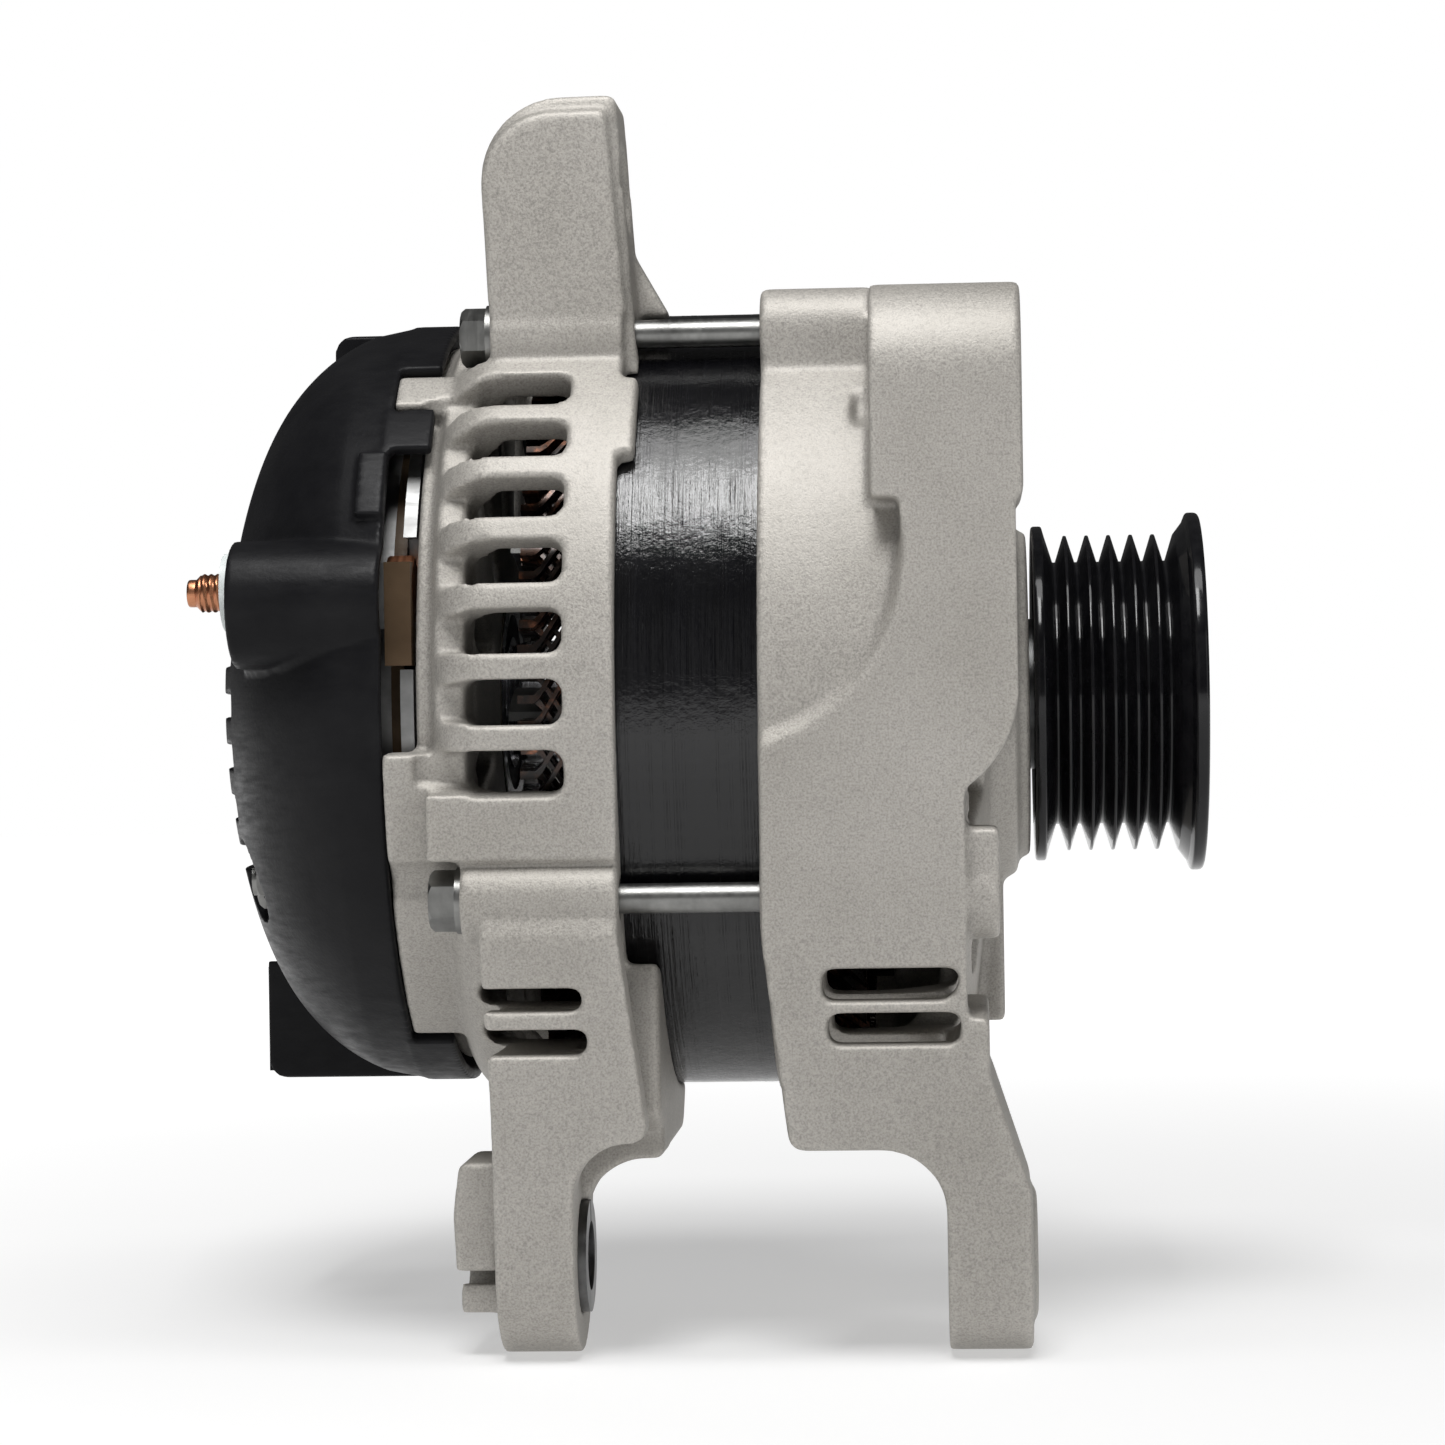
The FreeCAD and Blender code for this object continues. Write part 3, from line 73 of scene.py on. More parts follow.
MM = 0.001
NODES = frame["nodes"]
CAD_LOW, CAD_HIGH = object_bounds()
random.seed(11)


# ---- materials ----------------------------------------------------------------------------

# Socket numbers of a Mix node that is set to colour, whose sockets share their names.
MIX_FACTOR, MIX_COLOUR_A, MIX_COLOUR_B, MIX_COLOUR_OUT = 0, 6, 7, 2


class Recipe:
    """A material's node tree, built a step at a time in object space (metres)."""

    def __init__(self, name, metallic=0.0, roughness=0.5, specular=0.5):
        self.material = bpy.data.materials.new(name)
        self.material.use_nodes = True
        self.tree = self.material.node_tree
        self.shader = self.tree.nodes["Principled BSDF"]
        self.shader.inputs["Metallic"].default_value = metallic
        self.shader.inputs["Roughness"].default_value = roughness
        self.shader.inputs["Specular IOR Level"].default_value = specular
        self.coords = self.tree.nodes.new("ShaderNodeTexCoord").outputs["Object"]

    def new(self, kind):
        return self.tree.nodes.new(kind)

    def link(self, source, target):
        self.tree.links.new(source, target)

    def stretched(self, scale):
        node = self.new("ShaderNodeMapping")
        node.inputs["Scale"].default_value = scale
        self.link(self.coords, node.inputs["Vector"])
        return node.outputs["Vector"]

    def noise(self, scale, detail=3.0, roughness=0.55, stretch=None):
        node = self.new("ShaderNodeTexNoise")
        node.inputs["Scale"].default_value = scale
        node.inputs["Detail"].default_value = detail
        node.inputs["Roughness"].default_value = roughness
        vector = self.coords if stretch is None else self.stretched(stretch)
        self.link(vector, node.inputs["Vector"])
        return node.outputs["Fac"]

    def ramp(self, factor, stops):
        node = self.new("ShaderNodeValToRGB")
        elements = node.color_ramp.elements
        while len(elements) < len(stops):
            elements.new(0.5)
        for element, (place, value) in zip(elements, stops):
            element.position = place
            colour = value if isinstance(value, tuple) else (value,) * 3
            element.color = (*colour, 1.0)
        self.link(factor, node.inputs["Fac"])
        return node.outputs["Color"]

    def multiplied(self, first, second, amount=1.0):
        node = self.new("ShaderNodeMix")
        node.data_type = "RGBA"
        node.blend_type = "MULTIPLY"
        node.inputs[MIX_FACTOR].default_value = amount
        self.link(first, node.inputs[MIX_COLOUR_A])
        self.link(second, node.inputs[MIX_COLOUR_B])
        return node.outputs[MIX_COLOUR_OUT]

    def pointiness(self):
        return self.new("ShaderNodeNewGeometry").outputs["Pointiness"]

    def bump(self, height, strength, distance, under=None):
        node = self.new("ShaderNodeBump")
        node.inputs["Strength"].default_value = strength
        node.inputs["Distance"].default_value = distance
        self.link(height, node.inputs["Height"])
        if under is not None:
            self.link(under, node.inputs["Normal"])
        return node.outputs["Normal"]

    def finish(self, colour, roughness, normal):
        for source, socket in ((colour, "Base Color"), (roughness, "Roughness"), (normal, "Normal")):
            if source is not None:
                self.link(source, self.shader.inputs[socket])
        return self.material


def cast_aluminium():
    """Grit-blasted aluminium die casting: warm grey, fine even grain, a little soiling in the pits of the
    grain, painted shade in concave creases and painted highlights on convex edges.
    """
    r = Recipe("cast_aluminium", metallic=0.45)
    cloud = r.noise(38.0, 5.0, 0.6)
    fleck = r.noise(3000.0, 2.0, 0.6)
    pits = r.noise(1300.0, 3.0, 0.65)
    base = r.ramp(cloud, [(0.30, (0.360, 0.342, 0.312)), (0.70, (0.425, 0.405, 0.375))])
    speck = r.ramp(fleck, [(0.34, 0.78), (0.50, 1.0), (0.66, 1.16)])
    colour = r.multiplied(base, speck)
    soil = r.ramp(pits, [(0.30, 0.86), (0.48, 1.0), (0.80, 1.03)])
    colour = r.multiplied(colour, soil)
    # Painted shade and highlight: darker where the surface is concave (creases, inner corners), lighter along
    # convex edges.
    edge = r.ramp(r.pointiness(), [(0.44, 0.62), (0.50, 1.0), (0.57, 1.25)])
    colour = r.multiplied(colour, edge, 0.8)
    rough = r.ramp(fleck, [(0.3, 0.50), (0.7, 0.66)])
    coarse = r.bump(pits, 0.16, 0.0003)
    normal = r.bump(fleck, 0.50, 0.00012, coarse)
    return r.finish(colour, rough, normal)


def painted_core():
    """Black paint brushed over the edges of stacked laminations, worn along some of them."""
    r = Recipe("painted_core", specular=0.06)
    r.shader.inputs["Coat Weight"].default_value = 0.8
    r.shader.inputs["Coat Roughness"].default_value = 0.10
    sheets = r.noise(1.0, 2.0, 0.5, (1700.0, 18.0, 18.0))
    drag = r.noise(1.0, 4.0, 0.65, (900.0, 26.0, 26.0))
    blotch = r.noise(130.0, 3.0, 0.6)
    colour = r.ramp(drag, [(0.35, (0.0015, 0.0015, 0.002)), (0.64, (0.003, 0.003, 0.004)),
                           (0.84, (0.012, 0.012, 0.013))])
    rough = r.ramp(blotch, [(0.3, 0.26), (0.7, 0.44)])
    spatter = r.noise(1500.0, 3.0, 0.7)
    normal = r.bump(sheets, 0.5, 0.00012)
    normal = r.bump(drag, 0.4, 0.0003, normal)
    normal = r.bump(blotch, 0.3, 0.0006, normal)
    normal = r.bump(spatter, 0.35, 0.00015, normal)
    r.link(normal, r.shader.inputs["Coat Normal"])
    return r.finish(colour, rough, normal)


def gloss_black():
    """Glossy black coating of the pulley, with faint turning marks."""
    r = Recipe("gloss_black", specular=0.11)
    r.shader.inputs["Coat Weight"].default_value = 0.35
    r.shader.inputs["Coat Roughness"].default_value = 0.08
    haze = r.noise(260.0, 3.0, 0.6)
    turning = r.noise(1.0, 2.0, 0.5, (4200.0, 20.0, 20.0))
    colour = r.ramp(haze, [(0.3, (0.004, 0.004, 0.005)), (0.75, (0.011, 0.011, 0.012))])
    rough = r.ramp(haze, [(0.3, 0.13), (0.7, 0.24)])
    normal = r.bump(turning, 0.18, 0.00005)
    return r.finish(colour, rough, normal)


def moulded_plastic(name, dark, light, roughness, grain=1500.0):
    """Satin moulded plastic with a fine spark-eroded texture."""
    r = Recipe(name, specular=0.10)
    cloud = r.noise(70.0, 3.0, 0.6)
    texture = r.noise(grain, 2.0, 0.6)
    scuff = r.noise(1.0, 4.0, 0.7, (240.0, 60.0, 900.0))
    colour = r.ramp(cloud, [(0.3, dark), (0.7, light)])
    rough = r.ramp(scuff, [(0.35, roughness - 0.08), (0.7, roughness + 0.10)])
    normal = r.bump(texture, 0.22, 0.00012)
    return r.finish(colour, rough, normal)


def metal(name, dark, light, roughness, brushed=(300.0, 300.0, 300.0), metallic=1.0, bump=0.12):
    """Plain metal with cloudy tone and fine working marks."""
    r = Recipe(name, metallic=metallic)
    cloud = r.noise(160.0, 4.0, 0.6)
    marks = r.noise(1.0, 4.0, 0.6, brushed)
    colour = r.ramp(cloud, [(0.3, dark), (0.7, light)])
    rough = r.ramp(marks, [(0.3, roughness - 0.07), (0.7, roughness + 0.10)])
    normal = r.bump(marks, bump, 0.00012)
    return r.finish(colour, rough, normal)


def enamelled_copper():
    """Copper bar under amber enamel, darkened by varnish in patches."""
    r = Recipe("enamelled_copper", metallic=0.85)
    r.shader.inputs["Coat Weight"].default_value = 0.5
    r.shader.inputs["Coat Roughness"].default_value = 0.2
    patch = r.noise(240.0, 3.0, 0.65)
    fine = r.noise(1500.0, 2.0, 0.5)
    colour = r.ramp(patch, [(0.38, (0.008, 0.006, 0.005)), (0.58, (0.040, 0.018, 0.010)),
                            (0.78, (0.42, 0.16, 0.08))])
    rough = r.ramp(fine, [(0.3, 0.25), (0.7, 0.42)])
    return r.finish(colour, rough, r.bump(fine, 0.2, 0.0001))


def white_nylon():
    """Milky insulating collar that lets a little light through."""
    r = Recipe("white_nylon", roughness=0.4)
    r.shader.inputs["Subsurface Weight"].default_value = 0.4
    r.shader.inputs["Subsurface Radius"].default_value = (0.0015, 0.0015, 0.0015)
    cloud = r.noise(300.0, 3.0, 0.6)
    colour = r.ramp(cloud, [(0.3, (0.62, 0.66, 0.65)), (0.7, (0.80, 0.84, 0.83))])
    return r.finish(colour, r.ramp(cloud, [(0.3, 0.34), (0.7, 0.5)]), r.bump(cloud, 0.1, 0.0001))


def matt_rubber():
    """Matt black rubber, dusty in places."""
    r = Recipe("matt_rubber", roughness=0.75)
    dust = r.noise(500.0, 4.0, 0.65)
    colour = r.ramp(dust, [(0.35, (0.010, 0.010, 0.010)), (0.75, (0.035, 0.034, 0.032))])
    return r.finish(colour, r.ramp(dust, [(0.3, 0.62), (0.7, 0.85)]), r.bump(dust, 0.3, 0.0001))


def floor_paper():
    """Seamless white studio paper."""
    r = Recipe("floor_paper", roughness=0.9)
    cloud = r.noise(3.0, 3.0, 0.5)
    fibre = r.noise(900.0, 2.0, 0.5)
    colour = r.ramp(cloud, [(0.3, (0.47, 0.47, 0.47)), (0.7, (0.50, 0.50, 0.50))])
    away = r.new("ShaderNodeVectorMath")
    away.operation = "LENGTH"
    r.link(r.coords, away.inputs[0])
    glow = r.new("ShaderNodeMapRange")
    glow.inputs["From Min"].default_value = 0.16
    glow.inputs["From Max"].default_value = 0.75
    glow.inputs["To Min"].default_value = 0.46
    glow.inputs["To Max"].default_value = 1.0
    r.link(away.outputs["Value"], glow.inputs["Value"])
    r.link(glow.outputs["Result"], r.shader.inputs["Emission Strength"])
    r.shader.inputs["Emission Color"].default_value = (1.0, 1.0, 1.0, 1.0)
    return r.finish(colour, None, r.bump(fibre, 0.05, 0.0001))


MATERIALS = {
    "cast_aluminium": cast_aluminium(),
    "core_black": painted_core(),
    "pulley_black": gloss_black(),
    "cover_plastic": moulded_plastic("cover_plastic", (0.006, 0.006, 0.007), (0.012, 0.012, 0.013), 0.40),
    "black_plastic": moulded_plastic("black_plastic", (0.007, 0.007, 0.008), (0.014, 0.014, 0.015), 0.46),
    "cage_plastic": moulded_plastic("cage_plastic", (0.05, 0.04, 0.03), (0.10, 0.08, 0.06), 0.5),
    "brown_plastic": moulded_plastic("brown_plastic", (0.045, 0.028, 0.015), (0.095, 0.062, 0.036), 0.4),
    "white_nylon": white_nylon(),
    "seal_rubber": matt_rubber(),
    "zinc_steel": metal("zinc_steel", (0.15, 0.15, 0.145), (0.27, 0.27, 0.26), 0.36, (1500.0, 90.0, 90.0)),
    "dark_steel": metal("dark_steel", (0.10, 0.10, 0.10), (0.22, 0.22, 0.22), 0.36, (1500.0, 90.0, 90.0)),
    "bearing_steel": metal("bearing_steel", (0.45, 0.45, 0.47), (0.62, 0.62, 0.64), 0.22,
                           (2600.0, 60.0, 60.0)),
    "pole_iron": metal("pole_iron", (0.05, 0.048, 0.046), (0.11, 0.105, 0.10), 0.45, (1900.0, 80.0, 80.0)),
    "fan_steel": metal("fan_steel", (0.055, 0.055, 0.055), (0.11, 0.11, 0.105), 0.45),
    "plain_aluminium": metal("plain_aluminium", (0.20, 0.20, 0.20), (0.32, 0.32, 0.315), 0.46,
                             (120.0, 900.0, 900.0)),
    "ring_copper": metal("ring_copper", (0.50, 0.22, 0.12), (0.75, 0.38, 0.24), 0.22, (3000.0, 40.0, 40.0)),
    "stud_copper": metal("stud_copper", (0.30, 0.12, 0.06), (0.55, 0.25, 0.14), 0.34, (2200.0, 120.0, 120.0)),
    "copper_wire": enamelled_copper(),
    "pin_brass": metal("pin_brass", (0.55, 0.42, 0.20), (0.78, 0.64, 0.36), 0.3),
    "carbon": moulded_plastic("carbon", (0.02, 0.02, 0.022), (0.06, 0.06, 0.065), 0.6, 2500.0),
}


def dress(obj, slot):
    obj.data.materials.clear()
    obj.data.materials.append(MATERIALS[slot])


def slot_of(node):
    return next(row["material_slot"] for row in frame["record"]["subparts"] if row["node"] == node)


# ---- mesh helpers -------------------------------------------------------------------------

def body_of(node):
    return next(body for body, members in frame["record"]["behaviour"]["bodies"].items()
                if node in members)


def place(obj, node, slot=None, replaces=()):
    """Links a finished piece to the body of a CAD node and gives it a material."""
    slot = slot or slot_of(node)
    dress(obj, slot)
    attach(obj, body_of(node))
    if replaces:
        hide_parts(*replaces)


def mesh_object(name, verts, faces, smooth_angle=40.0):
    mesh = bpy.data.meshes.new(name)
    mesh.from_pydata([tuple(v) for v in verts], [], faces)
    mesh.validate()
    tool = bmesh.new()
    tool.from_mesh(mesh)
    bmesh.ops.recalc_face_normals(tool, faces=tool.faces)
    tool.to_mesh(mesh)
    tool.free()
    obj = bpy.data.objects.new(name, mesh)
    bpy.context.scene.collection.objects.link(obj)
    soften(obj, smooth_angle)
    return obj


def soften(obj, angle):
    """Smooth shading, with edges sharper than the angle kept crisp."""
    mesh = obj.data
    for polygon in mesh.polygons:
        polygon.use_smooth = True
    mesh.set_sharp_from_angle(angle=math.radians(angle))


def lathe(name, outline, steps=160, centre=(0.0, 0.0), wobble=None, smooth_angle=32.0):
    """Ring turned about a line along X from a closed (x, r) outline in millimetres."""
    verts = []
    for step in range(steps):
        turn = 2 * math.pi * step / steps
        for x, r in outline:
            radius = r if wobble is None else r + wobble(x, r, turn)
            verts.append(Vector((x, centre[0] + radius * math.cos(turn),
                                 centre[1] + radius * math.sin(turn))) * MM)
    count = len(outline)
    faces = []
    for step in range(steps):
        here = step * count
        there = (step + 1) % steps * count
        for index in range(count):
            after = (index + 1) % count
            faces.append((here + index, here + after, there + after, there + index))
    return mesh_object(name, verts, faces, smooth_angle)


ROUND_PIECES = 4                 # straight pieces that each rounded corner is made of
FLAT_ENOUGH = math.radians(88)   # half angle above which a corner is left alone
EDGE_SHARE = 0.45                # most of an edge that one rounding may take


def rounded(corners, radius):
    """Rounds each corner of a closed (x, r) outline; a corner may carry its own radius."""
    result = []
    for index, corner in enumerate(corners):
        here = Vector(corner[:2])
        size = corner[2] if len(corner) > 2 else radius
        back = Vector(corners[index - 1][:2]) - here
        ahead = Vector(corners[(index + 1) % len(corners)][:2]) - here
        half = back.angle(ahead) / 2
        if size == 0 or half > FLAT_ENOUGH:
            result.append(tuple(here))
            continue
        reach = min(size / math.tan(half), back.length * EDGE_SHARE, ahead.length * EDGE_SHARE)
        start = here + back.normalized() * reach
        finish = here + ahead.normalized() * reach
        for piece in range(ROUND_PIECES + 1):
            part = piece / ROUND_PIECES
            first = start.lerp(here, part)
            second = here.lerp(finish, part)
            result.append(tuple(first.lerp(second, part)))
    return result


def evaluated_copy(source, name, modifiers):
    """New object from a CAD node's mesh with a stack of modifiers applied to it."""
    mesh = source.data.copy()
    work = bpy.data.objects.new(name, mesh)
    bpy.context.scene.collection.objects.link(work)
    for kind, settings in modifiers:
        modifier = work.modifiers.new(kind.lower(), kind)
        for key, value in settings.items():
            setattr(modifier, key, value)
    graph = bpy.context.evaluated_depsgraph_get()
    final = bpy.data.meshes.new_from_object(work.evaluated_get(graph))
    work.modifiers.clear()
    work.data = final
    bpy.data.meshes.remove(mesh)
    return work


WELD_GAP = 0.002
CAST_SMOOTH_ANGLE = 60.0


def rounded_copy(node, voxel, passes, keep):
    """The node's shape with every edge, inside and outside, rounded by a voxel re-mesh."""
    weld = ("WELD", {"merge_threshold": WELD_GAP * MM})
    remesh = ("REMESH", {"mode": "VOXEL", "voxel_size": voxel * MM, "use_smooth_shade": True})
    smooth = ("SMOOTH", {"factor": 0.5, "iterations": passes})
    thin = ("DECIMATE", {"ratio": keep})
    piece = evaluated_copy(NODES[node], node + "_finished", [weld, remesh, smooth, thin])
    soften(piece, CAST_SMOOTH_ANGLE)
    place(piece, node, replaces=[node])


BEVEL_ANGLE = 35.0
BEVEL_SEGMENTS = 2


def bevelled(node, width):
    """Keeps the CAD mesh and softens its sharp edges."""
    obj = NODES[node]
    modifier = obj.modifiers.new("soft_edges", "BEVEL")
    modifier.width = width * MM
    modifier.segments = BEVEL_SEGMENTS
    modifier.limit_method = "ANGLE"
    modifier.angle_limit = math.radians(BEVEL_ANGLE)
    modifier.use_clamp_overlap = True
    modifier.harden_normals = True


# ---- pulley -------------------------------------------------------------------------------

RIB_PITCH = 3.56
RIB_COUNT = 6
RIB_SLOPE = 1.56        # half the width of a groove at the rib tips
RIB_HEIGHT = 4.3
VALLEY_HALF = 0.22
REAR_FLANGE_DROP = 1.8  # how much smaller than the front flange
TIP_DROP = 3.4
CUP_R = 17.5
CUP_FLOOR_X = 2.0
PULLEY_BORE_R = 8.5


def pulley():
    """Turned pulley with rounded rib crests and flanges and a cupped front."""
    low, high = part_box("pulley")
    rear_x, front_x = low.x / MM, high.x / MM
    front_r = high.z / MM
    rear_r = front_r - REAR_FLANGE_DROP
    tip_r = front_r - TIP_DROP
    valley_r = tip_r - RIB_HEIGHT
    crest = RIB_PITCH / 2 - RIB_SLOPE
    outline = [(rear_x, 13.0, 0.3), (rear_x, rear_r, 0.6), (rear_x + 1.7, rear_r, 0.5)]
    for rib in range(RIB_COUNT):
        centre = (rib - (RIB_COUNT - 1) / 2) * RIB_PITCH
        outline.append((centre - RIB_PITCH / 2 + crest, tip_r, 0.18))
        outline.append((centre - VALLEY_HALF, valley_r, 0.15))
        outline.append((centre + VALLEY_HALF, valley_r, 0.15))
        outline.append((centre + RIB_PITCH / 2 - crest, tip_r, 0.18))
    outline += [(front_x - 2.6, front_r - 1.5, 0.5), (front_x - 2.0, front_r, 0.6),
                (front_x, front_r, 0.9), (front_x, CUP_R + 1.2, 0.4), (front_x - 1.2, CUP_R, 0.4),
                (CUP_FLOOR_X, CUP_R, 1.5), (CUP_FLOOR_X, PULLEY_BORE_R, 0.3),
                (rear_x, PULLEY_BORE_R, 0.3)]
    piece = lathe("pulley_turned", rounded(outline, 0.3), steps=200)
    place(piece, "pulley", replaces=["pulley"])


# ---- output stud --------------------------------------------------------------------------

STUD_R = 3.0
STUD_PITCH = 1.0
THREAD_DEPTH = 0.32
END_CHAMFER = 0.9
POINT_R = 2.1
POINT_LENGTH = 1.4
HEAD_LENGTH = 4.2
HEAD_CORNER_R = 5.19    # 9 mm across the flats
HEAD_EDGE = 0.4
HEAD_EDGE_SCALE = 0.94
OVERLAP = 0.1           # how far the stud's three meshes reach into each other
THREAD_STEPS = 40
ROWS_PER_TURN = 6


def threaded_rod(name, x0, x1, radius, pitch, depth, centre):
    """Rod with a true helical thread between x0 and x1, closed by chamfered ends."""
    steps = THREAD_STEPS
    rows = int((x1 - x0) / pitch * ROWS_PER_TURN)
    verts = []
    faces = []
    for row in range(rows + 1):
        along = x0 + (x1 - x0) * row / rows
        edge = min(along - x0, x1 - along)
        for step in range(steps):
            phase = (along / pitch - step / steps) % 1.0
            groove = depth * (1 - abs(2 * phase - 1))
            r = min(radius - groove, radius - max(0.0, END_CHAMFER - edge))
            turn = 2 * math.pi * step / steps
            verts.append(Vector((along, centre[0] + r * math.cos(turn),
                                 centre[1] + r * math.sin(turn))) * MM)
    for row in range(rows):
        for step in range(steps):
            after = (step + 1) % steps
            faces.append((row * steps + step, row * steps + after,
                          (row + 1) * steps + after, (row + 1) * steps + step))
    for ring in (0, rows * steps):
        rim = [verts[ring + step] for step in range(steps)]
        middle = sum(rim, Vector()) / steps
        verts.append(middle)
        hub = len(verts) - 1
        faces += [(ring + step, ring + (step + 1) % steps, hub) for step in range(steps)]
    return mesh_object(name, verts, faces, 30.0)


def joined(pieces, name):
    """One object from several meshes that share a body and a material."""
    tool = bmesh.new()
    for piece in pieces:
        tool.from_mesh(piece.data)
    mesh = bpy.data.meshes.new(name)
    tool.to_mesh(mesh)
    tool.free()
    for piece in pieces:
        bpy.data.objects.remove(piece)
    obj = bpy.data.objects.new(name, mesh)
    bpy.context.scene.collection.objects.link(obj)
    soften(obj, 35.0)
    return obj


def output_stud():
    """M6 charging stud: hexagon head inside, thread, and a plain dog point at the tip."""
    low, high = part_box("b_plus_stud")
    middle = (low + high) / 2 / MM
    centre = (middle.y, middle.z)
    tip = low.x / MM
    head = high.x / MM
    point = lathe("stud_point", rounded([(tip, 0.02, 0), (tip, POINT_R, 0.4),
                                         (tip + POINT_LENGTH, POINT_R, 0.1),
                                         (tip + POINT_LENGTH, 0.02, 0)], 0.1), 40, centre)
    thread = threaded_rod("stud_thread", tip + POINT_LENGTH - OVERLAP, head - HEAD_LENGTH + OVERLAP,
                          STUD_R, STUD_PITCH, THREAD_DEPTH, centre)
    verts = []
    for x, scale in ((head - HEAD_LENGTH, HEAD_EDGE_SCALE), (head - HEAD_LENGTH + HEAD_EDGE, 1.0),
                     (head - HEAD_EDGE, 1.0), (head, HEAD_EDGE_SCALE)):
        for step in range(6):
            turn = math.radians(60 * step + 30)
            verts.append(Vector((x, centre[0] + HEAD_CORNER_R * scale * math.cos(turn),
                                 centre[1] + HEAD_CORNER_R * scale * math.sin(turn))) * MM)
    faces = [tuple(range(6)), tuple(range(18, 24))]
    for ring in range(3):
        for step in range(6):
            after = (step + 1) % 6
            faces.append((ring * 6 + step, ring * 6 + after,
                          ring * 6 + 6 + after, ring * 6 + 6 + step))
    hexagon = mesh_object("stud_head", verts, faces, 30.0)
    piece = joined([point, thread, hexagon], "output_stud")
    place(piece, "b_plus_stud", replaces=["b_plus_stud"])


# ---- stator -------------------------------------------------------------------------------

SHEET_PITCH = 0.5
SKIN_DEPTH = 0.4
JOINT_DEPTH = 0.07      # how deep the line between two sheets is
SKIN_REAR_X = -75.1     # just inside the rear frame's rim
SEAT_REAR, SEAT_FRONT = 3.0, 3.2


def lamination_edges():
    """Thin skin over the stator core that shows the edges of its stacked sheets."""
    low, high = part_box("stator_core")
    radius = high.z / MM
    inner = radius - SKIN_DEPTH
    x0 = max(low.x / MM + SEAT_REAR, SKIN_REAR_X)
    x1 = high.x / MM - SEAT_FRONT
    sheets = int((x1 - x0) / SHEET_PITCH)
    outline = []
    for sheet in range(sheets):
        left = x0 + sheet * SHEET_PITCH
        lift = random.uniform(-0.035, 0.02)
        outline += [(left, radius - JOINT_DEPTH), (left + 0.1, radius + lift),
                    (left + SHEET_PITCH - 0.08, radius + lift)]
    outline += [(x1, radius - JOINT_DEPTH), (x1, inner), (x0, inner)]

    def uneven(x, r, turn):
        if r <= inner:
            return 0.0
        spot = Vector((x * 0.9, 9.0 * math.cos(turn), 9.0 * math.sin(turn)))
        return 0.03 * noise.noise(spot)

    piece = lathe("lamination_edges", outline, 220, wobble=uneven, smooth_angle=25.0)
    place(piece, "stator_core")


def bar_along(path, wide, thick):
    """Vertices and faces of a flat bar swept along (x, r, angle) stations round the shaft."""
    verts = []
    for x, r, turn in path:
        out = Vector((0.0, -math.cos(turn), math.sin(turn)))
        side = Vector((0.0, math.sin(turn), math.cos(turn)))
        for across, up in ((-1, -1), (1, -1), (1, 1), (-1, 1)):
            verts.append((Vector((x, 0, 0)) + out * (r + up * thick / 2)
                          + side * across * wide / 2) * MM)
    faces = [(0, 1, 2, 3)]
    for station in range(len(path) - 1):
        base = station * 4
        for index in range(4):
            after = (index + 1) % 4
            faces.append((base + index, base + after, base + 4 + after, base + 4 + index))
    last = (len(path) - 1) * 4
    faces.append((last, last + 1, last + 2, last + 3))
    return verts, faces


SLOTS = 96
TWIST = 2 * math.pi * 3 / SLOTS     # a bar's end is bent over three slots
BAR_LAYERS = (52.1, 53.9, 55.7, 57.5)
BAR_WIDE, BAR_THICK = 1.25, 1.55
END_JOG = 0.25


def hairpin_winding():
    """Four layers of copper bars whose ends are bent over three slots at the rear and at the front, each
    layer the other way from the next.
    """
    low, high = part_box("stator_winding")
    rear_x, front_x = low.x / MM, high.x / MM
    core_low, core_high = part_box("stator_core")
    core_rear, core_front = core_low.x / MM, core_high.x / MM
    verts = []
    faces = []
    for layer, radius in enumerate(BAR_LAYERS):
        bend = TWIST if layer % 2 == 0 else -TWIST
        inward = 0.5 if layer % 2 == 0 else -0.5
        for slot in range(SLOTS):
            turn = 2 * math.pi * slot / SLOTS
            jog = random.uniform(-END_JOG, END_JOG)
            path = [(rear_x + 0.3 + jog, radius, turn + bend),
                    (rear_x + 2.6, radius, turn + bend),
                    (rear_x + 3.6, radius, turn + bend * 0.92),
                    (core_rear - 3.2, radius, turn + bend * 0.10),
                    (core_rear - 2.0, radius, turn),
                    (core_front + 2.0, radius, turn),
                    (core_front + 3.2, radius, turn + bend * 0.10),
                    (front_x - 2.6, radius, turn + bend * 0.92),
                    (front_x - 1.0 + jog, radius - inward, turn + bend * 1.05)]
            more, sides = bar_along(path, BAR_WIDE, BAR_THICK)
            start = len(verts)
            verts += more
            faces += [tuple(start + index for index in side) for side in sides]
    piece = mesh_object("hairpin_winding", verts, faces, 40.0)
    place(piece, "stator_winding", replaces=["stator_winding"])


# ---- brush springs ------------------------------------------------------------------------

def brush_spring(sign):
    """A copy of the CAD coil, smooth shaded, on the body of its node, with a mesh of its own."""
    node = "brush_spring_" + sign
    piece = bpy.data.objects.new(node + "_coil", NODES[node].data.copy())
    bpy.context.scene.collection.objects.link(piece)
    piece.matrix_world = NODES[node].matrix_world
    soften(piece, 40.0)
    place(piece, node, replaces=[node])
    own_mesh(piece)


# ---- everything else ----------------------------------------------------------------------

# Node, voxel size in mm, smoothing passes, and the share of the faces that is kept.
ROUNDED = (("rear_frame", 0.62, 6, 0.42), ("drive_end_frame", 0.68, 6, 0.42),
           ("rear_cover", 0.5, 3, 0.4))

